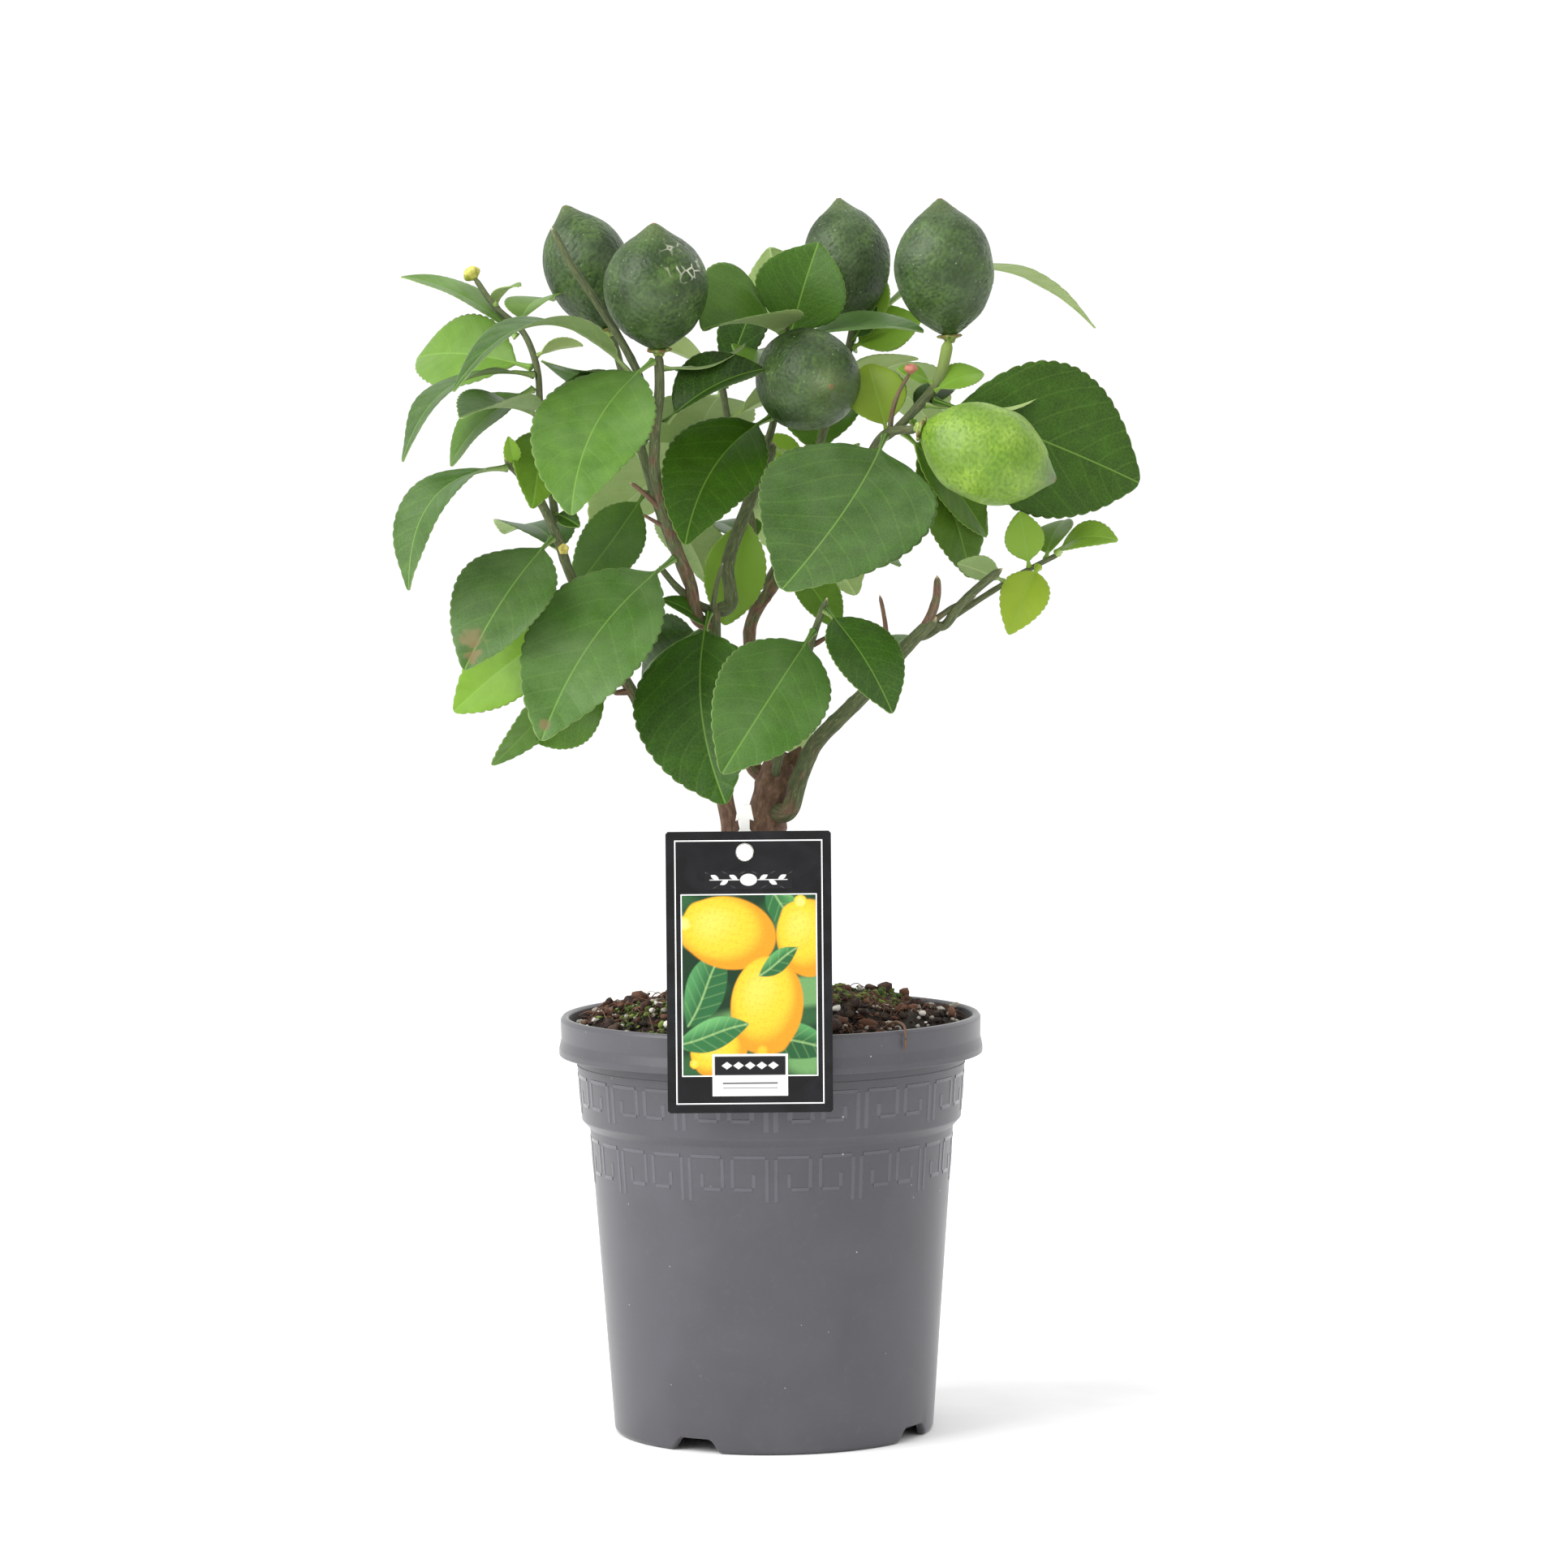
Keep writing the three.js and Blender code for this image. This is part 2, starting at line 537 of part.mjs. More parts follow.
// ---- stake and label -----------------------------------------------------------------------
// The label leans on the front of the rim, and hangs on the stud of a stake that stands in the
// soil just inside the rim.
const stakeX = labelOffset + labelHoleOffset;
const lean = THREE.MathUtils.degToRad(labelLean);
const labelBottom = potHeight - labelOverlap;
// The label's back meets the widest ring of the collar.
const touchHeight = potHeight - collarHeight + collarHemHeight;
const labelBackAt = (height) =>
  -(rimRadius + collarFlare + gap) + (height - touchHeight) * Math.tan(lean);
const holeHeight = labelBottom + (labelHeight - labelHoleDrop) * Math.cos(lean);
const stakeSetback = 2.2; // from the pot's inside, at the stake's point
const stakeFront = -(wallRadius(soilLevel - stakeDepth) - potWall) + stakeSetback;
const stakeBottom = soilLevel - stakeDepth;
const labelTop = labelBottom + labelHeight * Math.cos(lean);
const stakeTop = labelTop + stakeHeadHeight;
const stakePointLength = 10;
const stakeShoulder = 2; // the neck's run into the blade, just under the label's top
const stakeBarbHeight = 5;
const stakeBarbUndercut = 0.6;

function stakeSolid(grow) {
  const halfBlade = stakeWidth / 2 + grow;
  const halfNeck = stakeNeck / 2;
  const neckTop = stakeTop - stakeBarbHeight;
  const outline = new THREE.Shape([
    new THREE.Vector2(0, stakeBottom - grow),
    new THREE.Vector2(halfBlade, stakeBottom + stakePointLength - grow),
    new THREE.Vector2(halfBlade, labelTop - stakeShoulder),
    new THREE.Vector2(halfNeck, labelTop),
    new THREE.Vector2(halfNeck, neckTop),
    new THREE.Vector2(stakeWidth / 2, neckTop - stakeBarbUndercut),
    new THREE.Vector2(stakeWidth / 3, stakeTop),
    new THREE.Vector2(-stakeWidth / 3, stakeTop),
    new THREE.Vector2(-stakeWidth / 2, neckTop - stakeBarbUndercut),
    new THREE.Vector2(-halfNeck, neckTop),
    new THREE.Vector2(-halfNeck, labelTop),
    new THREE.Vector2(-halfBlade, labelTop - stakeShoulder),
    new THREE.Vector2(-halfBlade, stakeBottom + stakePointLength - grow),
  ]);
  const depth = stakeThickness + 2 * grow;
  const blade = new THREE.ExtrudeGeometry(outline, { depth, bevelEnabled: false });
  blade.rotateX(Math.PI / 2);
  blade.translate(stakeX, stakeFront + depth - grow, 0);
  return solid(blade);
}

const studRadius = labelHoleDiameter / 2 - studClearance;
const studProud = 0.6; // the stud's end in front of the label
const studRoot = 0.5; // the stud's length inside the stake
const studSides = 16;
const studReach = stakeFront - (labelBackAt(holeHeight) - labelThickness) + studProud;
const stud = new THREE.CylinderGeometry(studRadius, studRadius, studReach + studRoot, studSides);
stud.translate(stakeX, stakeFront - (studReach - studRoot) / 2, holeHeight);
addPiece("label_stake", geometryOf(stakeSolid(0).add(solid(stud))), "#f2f2ee", 0.5);

const card = new THREE.Shape();
const corner = 0.8;
card.moveTo(-labelWidth / 2 + corner, 0);
card.lineTo(labelWidth / 2 - corner, 0);
card.lineTo(labelWidth / 2, corner);
card.lineTo(labelWidth / 2, labelHeight - corner);
card.lineTo(labelWidth / 2 - corner, labelHeight);
card.lineTo(-labelWidth / 2 + corner, labelHeight);
card.lineTo(-labelWidth / 2, labelHeight - corner);
card.lineTo(-labelWidth / 2, corner);
card.closePath();
const hole = new THREE.Path();
const holeUp = labelHeight - labelHoleDrop;
hole.absarc(labelHoleOffset, holeUp, labelHoleDiameter / 2, 0, 2 * Math.PI, true);
card.holes.push(hole);
const cardGeometry = new THREE.ExtrudeGeometry(card, {
  depth: labelThickness,
  bevelEnabled: false,
  curveSegments: 12,
});
cardGeometry.rotateX(Math.PI / 2);
cardGeometry.rotateX(-lean);
cardGeometry.translate(labelOffset, labelBackAt(labelBottom), labelBottom);
addPiece("label", cardGeometry, "#1c1c1e", 0.3);

// ---- soil ----------------------------------------------------------------------------------
const soilSegments = 32;

function soilSolid() {
  const inside = (height) => wallRadius(height) - potWall - gap * 2;
  const collarInside = rimRadius - rimWall - gap * 2;
  const collarBottom = potHeight - collarHeight;
  const profile = [
    [0, floorTop + gap],
    [inside(floorTop) - 3.4, floorTop + gap],
    [inside(floorTop + 4) - 0.3, floorTop + 4],
    [inside(shoulderHeight - shoulderRun) - 0.3, shoulderHeight - shoulderRun],
    [inside(shoulderHeight), shoulderHeight + 1],
    [inside(collarBottom - 3), collarBottom - 3],
    [collarInside, collarBottom + 4],
    [collarInside, soilLevel - 2],
    [collarInside - soilTopMargin, soilLevel],
    [collarInside * 0.75, soilLevel + soilMound * 0.55],
    [collarInside * 0.4, soilLevel + soilMound * 0.9],
    [0, soilLevel + soilMound],
  ];
  const points = profile.map(([radius, height]) => new THREE.Vector2(radius, height));
  const heap = new THREE.LatheGeometry(points, soilSegments).rotateX(Math.PI / 2);
  const trunkRoom = tube(trunkCurve, trunkSides, trunkSteps, (s) => trunkRadiusAt(s) + gap * 2, 4, 2);
  return solid(heap).subtract(solid(trunkRoom)).subtract(stakeSolid(gap));
}
addPiece("soil", geometryOf(soilSolid()), "#3a2c22", 1);

export default tree;
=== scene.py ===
# %% [markdown]
# # A young lemon tree in a nursery pot
#
# This lesson dresses a finished CAD frame. The frame holds every size and place: the pot, the soil,
# the trunk and stems, the leaves, the lemons and the label on its stake. Each of those solids is plain.
# Here each one is read back, turned into a few smooth curves, and made again as a fine surface.
# Shapes are numpy arrays in millimetres, and one function turns them into Blender meshes in metres.

# %% Load the frame
import json
import math

import bmesh
import bpy
import numpy as np
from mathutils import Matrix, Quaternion, Vector

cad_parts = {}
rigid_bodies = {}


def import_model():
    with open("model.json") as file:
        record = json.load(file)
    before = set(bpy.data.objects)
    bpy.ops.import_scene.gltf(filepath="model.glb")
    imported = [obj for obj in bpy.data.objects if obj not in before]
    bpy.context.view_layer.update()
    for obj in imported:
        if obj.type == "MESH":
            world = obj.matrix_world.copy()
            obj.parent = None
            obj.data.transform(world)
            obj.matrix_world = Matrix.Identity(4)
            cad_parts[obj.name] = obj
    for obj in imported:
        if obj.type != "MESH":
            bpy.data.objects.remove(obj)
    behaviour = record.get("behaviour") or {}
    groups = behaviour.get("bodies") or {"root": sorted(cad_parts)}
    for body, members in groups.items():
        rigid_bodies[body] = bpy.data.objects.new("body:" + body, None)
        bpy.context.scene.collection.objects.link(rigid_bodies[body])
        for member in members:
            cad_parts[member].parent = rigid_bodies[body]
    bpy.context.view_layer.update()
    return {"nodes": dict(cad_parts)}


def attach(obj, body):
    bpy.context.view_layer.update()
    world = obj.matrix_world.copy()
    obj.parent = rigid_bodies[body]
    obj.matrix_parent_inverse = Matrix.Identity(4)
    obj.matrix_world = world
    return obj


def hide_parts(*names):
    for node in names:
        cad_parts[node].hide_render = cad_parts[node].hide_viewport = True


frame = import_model()
MM = 0.001

# %% [markdown]
# ## Camera, light and floor
#
# A plant like this is shown on a white sweep, with soft light from all sides and a large softbox at
# the upper left. A white world does the first job better than many lamps, because leaves and the matt
# pot then pick up pale edges everywhere. The camera is a long lens a little above the pot's rim.

# %% Camera
camera_distance = 2105
camera_height = 379
aim_height = 231
side_step = 5.5
focal_length = 136.03
camera_roll = -0.5  # degrees

scene = bpy.context.scene
camera = bpy.data.objects.new("camera", bpy.data.cameras.new("camera"))
scene.collection.objects.link(camera)
camera.data.lens = focal_length
camera.data.sensor_width = 36
camera.data.clip_end = 100
camera.location = Vector((side_step, -camera_distance, camera_height)) * MM
aim = Vector((side_step, 0, aim_height)) * MM - camera.location
camera.rotation_mode = "QUATERNION"
camera.rotation_quaternion = aim.to_track_quat("-Z", "Y") @ Quaternion((0, 0, 1), math.radians(camera_roll))
scene.camera = camera
print("camera at", [round(c, 3) for c in camera.location])


# %% Light
def softbox(name, place, target, size, power):
    """An area lamp at a place in metres, turned towards a target."""
    lamp = bpy.data.lights.new(name, "AREA")
    lamp.size = size
    lamp.energy = power
    holder = bpy.data.objects.new(name, lamp)
    holder.location = place
    holder.rotation_mode = "QUATERNION"
    holder.rotation_quaternion = (Vector(target) - Vector(place)).to_track_quat("-Z", "Y")
    scene.collection.objects.link(holder)


middle = (0, 0, 0.27)
softbox("key_softbox", (-1.5, -0.9, 1.5), middle, 1.6, 42)
softbox("rear_softbox", (0.9, 1.4, 1.3), middle, 1.8, 6)
world = bpy.data.worlds.new("white_studio")
world.use_nodes = True
background = world.node_tree.nodes["Background"].inputs
background["Color"].default_value = (1, 1, 1, 1)
background["Strength"].default_value = 1.04  # a little over 1, so that the floor's far edge turns white
scene.world = world
scene.view_settings.view_transform = "Standard"
scene.view_settings.look = "None"

# %% [markdown]
# ## Small tools
#
# Three tools carry the whole lesson. `make_piece` puts arrays into a mesh and ties it to the frame.
# `add` puts one shader node into a material. `waves` makes smooth random bumps of a chosen size in
# millimetres, from a sum of plane waves, which is quick on whole arrays and the same on every run.
#
# Some node inputs share a name, so they are given by number: 0, 6 and 7 are a colour mix's share and
# its two colours, and 1 to 4 are the limits that a map range reads (from, to) and gives (from, to).


# %% Colours and shader nodes
def srgb(code):
    """An sRGB hex colour as linear RGBA: ((c + 0.055) / 1.055) ^ 2.4, or c / 12.92 in the darkest tones."""
    c = np.array([int(code[i:i + 2], 16) for i in (1, 3, 5)]) / 255
    linear = np.where(c <= 0.04045, c / 12.92, ((c + 0.055) / 1.055) ** 2.4)
    return (*linear.tolist(), 1.0)


def fill(node, inputs):
    """Sets a node's inputs. Each gets a value, a hex colour, an output, or a node's first output in use."""
    for key, value in inputs.items():
        if isinstance(value, bpy.types.Node):
            value = next(output for output in value.outputs if output.enabled)
        if isinstance(value, bpy.types.NodeSocket):
            node.id_data.links.new(value, node.inputs[key])
        else:
            node.inputs[key].default_value = srgb(value) if isinstance(value, str) else value


def add(tree, kind, inputs=None, stops=(), **settings):
    """Adds a shader node with its own settings, a ramp's colour stops and its inputs."""
    made = tree.nodes.new("ShaderNode" + kind)
    for key, value in settings.items():
        setattr(made, key, value)
    for index, (place, color) in enumerate(stops):
        ramp = made.color_ramp.elements
        stop = ramp[index] if index < 2 else ramp.new(place)
        stop.position = place
        stop.color = srgb(color)
    fill(made, inputs or {})
    return made


def coat(tree, under, color, value, low, high, least=0.0, most=1.0):
    """Lays a colour over another. Its share runs from least to most while a value runs from low to high."""
    share = add(tree, "MapRange", {"Value": value, 1: low, 2: high, 3: least, 4: most})
    return add(tree, "Mix", {0: share, 6: under, 7: color}, data_type="RGBA")


def new_material(name):
    """An empty material, its node tree, and the place on the surface in Object coordinates."""
    material = bpy.data.materials.new(name)
    material.use_nodes = True
    place = add(material.node_tree, "TexCoord").outputs["Object"]
    return material, material.node_tree, place


def finish(material, color, height, strength, depth, inputs):
    """Gives the material's shader its colour, a relief up to depth mm deep, and its other inputs."""
    tree = material.node_tree
    relief = add(tree, "Bump", {"Height": height, "Strength": strength, "Distance": depth * MM})
    fill(tree.nodes["Principled BSDF"], {"Base Color": color, "Normal": relief, **inputs})
    return material


def per_mm(size):
    """The scale of a pattern on Object coordinates, in metres, whose features are size mm wide."""
    return 1 / (size * MM)


# %% Meshes from arrays
def closed_loft(start, skin, end):
    """Points and faces of a closed surface: a start pole, rows of points round it, and an end pole."""
    rows, sides = skin.shape[:2]
    side = np.arange(sides)
    after = (side + 1) % sides
    row = np.arange(rows - 1)[:, None] * sides + 1
    quads = np.stack([row + side, row + after, row + after + sides, row + side + sides], -1)
    last = 1 + (rows - 1) * sides
    fans = [np.stack([np.zeros(sides, int), 1 + after, 1 + side], -1),
            np.stack([last + side, last + after, np.full(sides, last + sides)], -1)]
    faces = quads.reshape(-1, 4).tolist() + np.concatenate(fans).tolist()
    return np.concatenate([[start], skin.reshape(-1, 3), [end]]), faces


def joined(bodies):
    """Several (points, faces) as one."""
    starts = np.cumsum([0] + [len(points) for points, _ in bodies]).tolist()
    faces = [[i + start for i in face] for (_, part), start in zip(bodies, starts) for face in part]
    return np.concatenate([points for points, _ in bodies]), faces


def repeated(faces, copies, size):
    """The faces of one small shape of size points, counted on for each of its copies."""
    return (np.array(faces) + np.arange(copies)[:, None, None] * size).reshape(-1, len(faces[0])).tolist()


def in_triangles(faces):
    """Faces with every quad cut in two."""
    return [[face[0], *pair] for face in faces for pair in zip(face[1:-1], face[2:])]


def make_object(name, points, faces, materials, attributes=None, second=None, smooth=True):
    """A mesh object from points in mm. attributes are per point; second marks faces of materials[1]."""
    mesh = bpy.data.meshes.new(name)
    mesh.from_pydata((np.asarray(points) * MM).tolist(), [], faces)
    for key, values in (attributes or {}).items():
        values = np.asarray(values, np.float32)
        kind, field = ("FLOAT_VECTOR", "vector") if values.ndim == 2 else ("FLOAT", "value")
        mesh.attributes.new(key, kind, "POINT").data.foreach_set(field, values.ravel())
    for material in materials:
        mesh.materials.append(material)
    if second is not None:
        mesh.polygons.foreach_set("material_index", np.asarray(second, np.int32))
    mesh.polygons.foreach_set("use_smooth", np.full(len(mesh.polygons), smooth))
    mesh.update()
    made = bpy.data.objects.new(name, mesh)
    scene.collection.objects.link(made)
    return made


def make_piece(name, points, faces, materials, slot, stands_for=(), **extras):
    """An object that belongs to the tree: it rides on the body and hides the frame parts it replaces.
    slot, the name of its finish, is not used.
    """
    piece = make_object(name, points, faces, materials, **extras)
    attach(piece, "root")
    if stands_for:
        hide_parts(*stands_for)
    return piece


# %% Curves and random bumps
def unit(vectors):
    """Vectors over their lengths."""
    return vectors / np.maximum(np.linalg.norm(vectors, axis=-1, keepdims=True), 1e-12)


def square_to(vectors, axes):
    """The part of each vector that is square to its unit axis, over its length."""
    return unit(vectors - axes * np.sum(vectors * axes, -1, keepdims=True))


def spline(keys, values, at):
    """A smooth curve through values at keys: cubic pieces that share the mean slope at each key."""
    slopes = np.gradient(values, keys, axis=0)
    i = np.clip(np.searchsorted(keys, at) - 1, 0, len(keys) - 2)
    step = (keys[i + 1] - keys[i]).reshape(-1, *[1] * (values.ndim - 1))
    t = ((at - keys[i]) / (keys[i + 1] - keys[i])).reshape(step.shape)
    ends = values[i] * (1 + 2 * t) * (1 - t) ** 2 + values[i + 1] * t * t * (3 - 2 * t)
    return ends + step * (slopes[i] * t * (1 - t) ** 2 - slopes[i + 1] * t * t * (1 - t))


def fade(low, high, x):
    """0 below low, 1 above high, and 3t^2 - 2t^3 between them."""
    t = np.clip((x - low) / (high - low), 0, 1)
    return t * t * (3 - 2 * t)


def waves(points, size, seed, count=14):
    """Smooth noise near -1 to 1 with bumps about size mm wide: the mean of sines along random directions."""
    rng = np.random.default_rng(seed)
    directions = unit(rng.normal(size=(count, 3))) * (2 * math.pi / (size * 2))
    directions *= rng.uniform(0.7, 1.4, (count, 1))
    total = np.sin(points @ directions.T + rng.uniform(0, 2 * math.pi, count)).sum(-1)
    return total / math.sqrt(count / 2) * 0.6


def full_turn(sides):
    """The angles of a full turn in equal steps."""
    return np.linspace(0, 2 * math.pi, sides, endpoint=False)


def ring_about(axes, way, turn):
    """Unit vectors square to each axis, at the angles of turn round it. `way` is the axes' mean way."""
    across = square_to(np.eye(3)[np.abs(way).argmin()] + 0 * axes, axes)
    other = np.cross(axes, across)
    return across[..., None, :] * np.cos(turn)[:, None] + other[..., None, :] * np.sin(turn)[:, None]


def lengths_along(path):
    """Distance along a path at each of its points."""
    return np.concatenate([[0], np.cumsum(np.linalg.norm(np.diff(path, axis=0), axis=1))])


print("bumps 5 mm wide, at four places 1 mm apart:", waves(np.arange(4)[:, None] * np.eye(3)[0], 5, 1).round(2))

# %% [markdown]
# ## Reading the frame's curves
#
# The CAD solids of the plant are lofts: a pole, a few rings and another pole. Walking out from a pole
# along the edges meets the rings one by one, so each solid gives back its centre line, its thickness
# and, for a leaf, its width and which side is up. Every fine surface below starts from those curves.


# %% Rings of a CAD loft
def cad_mesh(node):
    """A CAD node's points in mm, merged, and its triangles as rows of three indices."""
    mesh = frame["nodes"][node].data
    co = np.empty(len(mesh.vertices) * 3, np.float32)
    mesh.vertices.foreach_get("co", co)
    corners = np.empty(len(mesh.loops), np.int32)
    mesh.loops.foreach_get("vertex_index", corners)
    points, index = np.unique((co.reshape(-1, 3) / MM).round(3), axis=0, return_inverse=True)
    return points.astype(float), index.ravel()[corners].reshape(-1, 3)


def cad_rings(node):
    """The rings of a CAD loft, from one pole to the other, each as an array of points in mm."""
    points, triangles = cad_mesh(node)
    touch = np.zeros((len(points), len(points)), bool)
    for a, b in ((0, 1), (1, 2), (2, 0)):
        touch[triangles[:, a], triangles[:, b]] = True
        touch[triangles[:, b], triangles[:, a]] = True
    for pole in range(len(points)):
        layers = [np.arange(len(points)) == pole]
        seen = layers[0].copy()
        while not seen.all():
            layers.append(touch[layers[-1]].any(0) & ~seen)
            seen |= layers[-1]
        sizes = [int(layer.sum()) for layer in layers]
        if sizes[-1] == 1 and len(set(sizes[1:-1])) == 1:
            return [points[layer] for layer in layers]
    raise ValueError(f"{node} is not a loft")


# %% The stems' centre lines
stem_names = [n for n in frame["nodes"] if n.split("_")[0] in ("trunk", "stem", "branch", "twig")]
stems = {}
for name in stem_names:
    rings = cad_rings(name)
    centre = np.array([ring.mean(0) for ring in rings[1:-1]])
    radius = np.array([np.linalg.norm(ring - ring.mean(0), axis=1).mean() for ring in rings[1:-1]])
    stems[name] = {"path": centre, "radius": radius}
if stems["trunk"]["path"][0, 2] > stems["trunk"]["path"][-1, 2]:
    stems["trunk"] = {key: values[::-1] for key, values in stems["trunk"].items()}


def on_stem(name, share):
    """The centre, direction and radius of a stem at a share of its length."""
    path, radius = stems[name]["path"], stems[name]["radius"]
    keys = lengths_along(path)
    at = np.array([share * keys[-1]])
    ahead = spline(keys, path, at + 0.5) - spline(keys, path, at - 0.5)
    return spline(keys, path, at)[0], unit(ahead)[0], float(np.interp(at[0], keys, radius))


def nearest_stem(point, names):
    """The stem whose surface is nearest to a point, as (distance, name, share of its length)."""
    best = (1e9, None, 0)
    for name in names:
        path, radius = stems[name]["path"], stems[name]["radius"]
        keys = lengths_along(path)
        fine = np.linspace(0, keys[-1], 200)
        gaps = np.linalg.norm(spline(keys, path, fine) - point, axis=1) - np.interp(fine, keys, radius)
        best = min(best, (gaps.min(), name, fine[gaps.argmin()] / keys[-1]))
    return best


# %% What grows from what
# The stem nearest to those already known is the next one, and its nearer end is its foot.
known = ["trunk"]
while len(known) < len(stems):
    options = []
    for name in stems:
        if name not in known:
            for end in (0, -1):
                gap, parent, share = nearest_stem(stems[name]["path"][end], known)
                options.append((gap, name, end, parent, share))
    _, name, end, parent, share = min(options)
    if end == -1:
        stems[name] = {key: values[::-1] for key, values in stems[name].items()}
    stems[name].update(parent=parent, share=share)
    known.append(name)
print({name: stems[name].get("parent") for name in known})

# %% [markdown]
# ## Bark
#
# The trunk and the older stems are brown, with a thin flaking bark in lengthwise ridges. Younger
# citrus wood is green, ribbed and dotted with pale pores. One material holds both and mixes them by an
# `age` attribute, because on the real plant one shades into the other along a stem. Broken ends show
# pale wood, marked by a `cut` attribute.

# %% Citrus bark, grown: matt, green when young and brown and flaking when old
citrus_bark, tree, place = new_material("citrus_bark_grown")
along_stem = add(tree, "Attribute", attribute_name="grain").outputs["Vector"]
age = add(tree, "Attribute", attribute_name="age").outputs["Fac"]
cut = add(tree, "Attribute", attribute_name="cut").outputs["Fac"]
patches = add(tree, "TexNoise", {"Vector": place, "Scale": per_mm(5), "Detail": 6})
streaks = add(tree, "TexNoise", {"Vector": along_stem, "Scale": 1.1, "Detail": 5, "Roughness": 0.7})
brown = add(tree, "ValToRGB", {"Fac": streaks}, stops=((0.3, "#4a3526"), (0.72, "#96785c"), (0.5, "#6d5140")))
green = add(tree, "ValToRGB", {"Fac": streaks}, stops=((0.3, "#3c4629"), (0.74, "#737b50"), (0.5, "#535c3a")))
pores = add(tree, "TexVoronoi", {"Vector": along_stem, "Scale": 0.9, "Randomness": 1.0})
dotted = coat(tree, green, "#8d9268", pores, 0.1, 0.17, 0.8, 0.0)
uneven = add(tree, "Math", {0: age, 1: patches}, operation="ADD")
barked = coat(tree, dotted, brown, uneven, 0.85, 1.1)
# The last few millimetres under a fruit are this year's growth, pale green and smooth.
fresh = coat(tree, barked, "#88a048", age, -0.58, -0.36, 0.9, 0)
wood = add(tree, "Mix", {0: cut, 6: fresh, 7: "#d5c8a4"}, data_type="RGBA")
finish(citrus_bark, wood, streaks, 0.4, 0.3, {"Roughness": 0.78})
print(citrus_bark.name, len(tree.nodes), "nodes")


# %% One stem as a surface
def tube_surface(path, radius, rows, sides, seed, ridge, joints, ragged=0.0):
    """A tube along a path, with its grain coordinates and its cut end marked, per point. Its radius is the
    path's, times 1 plus lengthwise ridges, plus low rings at the joints where leaves grew. Both ends
    close in a quarter circle, and ragged splinters the far end by so many mm."""
    keys = lengths_along(path)
    dome = np.sin(np.linspace(0.12, math.pi / 2, 5))
    at = np.linspace(0, keys[-1], rows)
    line = spline(keys, path, at)
    size = np.interp(at, keys, radius)
    size[:5] *= dome
    size[-5:] *= [1, 1, 0.95, 0.85, 0.6] if ragged else dome[::-1]
    ahead = unit(np.gradient(line, axis=0))
    turn = full_turn(sides)
    ring = ring_about(ahead, path[-1] - path[0], turn)
    skin = line[:, None] + ring * size[:, None, None]
    grain = np.stack(np.broadcast_arrays(np.cos(turn) * 3, np.sin(turn) * 3, at[:, None] * 0.22), -1)
    rough = waves(grain, 1.5, seed) * 0.6 + waves(skin, 3.0, seed + 1) * 0.4
    swell = np.exp(-((at[:, None] - np.asarray(joints)[None]) / 1.4) ** 2).sum(1) * 0.1
    scale = 1 + ridge * rough + swell[:, None] * (0.7 + 0.3 * np.cos(turn + seed))
    skin = line[:, None] + ring * (size[:, None] * scale)[..., None]
    cut = fade(keys[-1] - 0.5 * radius[-1] - 0.4, keys[-1] - 0.2, at)[:, None] + 0 * turn
    if ragged:
        reach = fade(keys[-1] - 9, keys[-1], at)[:, None] * (waves(grain, 1.2, seed + 5) - 0.2) * ragged
        skin = skin + ahead[:, None] * reach[..., None]
    points, faces = closed_loft(line[0] - ahead[0] * 0.1, skin, line[-1] + ahead[-1] * 0.05)
    grain, cut = (np.concatenate([v[:1].mean(1), v.reshape(-1, *v.shape[2:]), v[-1:].mean(1)])
                  for v in (grain, cut))
    return points, faces, grain, cut


# %% Trunk and stems
# How old each stem's bark is at its foot, from 0 for green to 1 for brown; the others are young.
older = {"trunk": 1.1, "stem_left_main": 0.75, "stem_far_left": 0.62, "stem_centre": 0.66,
         "stem_left_brown": 0.62, "branch_right": 0.45, "stem_back": 0.5, "stem_rear": 0.3,
         "stem_fruit_right": -0.14}
fruit_stems = ("stem_rear_left", "stem_left_brown", "stem_mid_top", "stem_rear", "stem_fruit_right",
               "stem_centre")
joint_gap = 13  # mm from one old leaf joint to the next
for index, name in enumerate(known):
    stem = stems[name]
    path, radius = stem["path"], stem["radius"].copy()
    if "parent" in stem:
        fork, direction, girth = on_stem(stem["parent"], stem["share"])
        down = -math.copysign(0.7, direction @ (path[1] - path[0])) * direction * min(girth, 4)
        path = np.concatenate([[fork + down * 0.6], path])
        flare = 1 + 0.18 * np.exp(-lengths_along(path)[1:] / (2 * radius[0]))
        radius = np.concatenate([[radius[0] * 1.25], radius * flare])
        path[-1] = path[-1] + unit(path[-1] - path[-2]) * 0.6
    length = lengths_along(path)[-1]
    thick = name == "trunk"
    step, sides, ridge, ragged, aging = (0.7, 56, 0.07, 5.5, 0.15) if thick else (0.9, 22, 0.022, 0.0, 0.45)
    rows = int(length / step)
    joints = np.arange(9, length - 4, joint_gap)
    joints = joints + np.random.default_rng(40 + index).uniform(-3, 3, len(joints))
    points, faces, grain, cut = tube_surface(path, radius, rows, sides, 60 + index, ridge, joints, ragged)
    young = older.get(name, 0.12) - aging * np.linspace(0, 1, rows)
    age = np.concatenate([young[:1], np.repeat(young, sides), young[-1:]])
    slot = "brown_bark" if older.get(name, 0) > 0.5 else "green_bark"
    make_piece(name + "_bark", points, faces, [citrus_bark], slot, [name],
               attributes={"grain": grain, "age": age, "cut": cut * (not thick and name not in fruit_stems)})
print(len(known), "stems made")

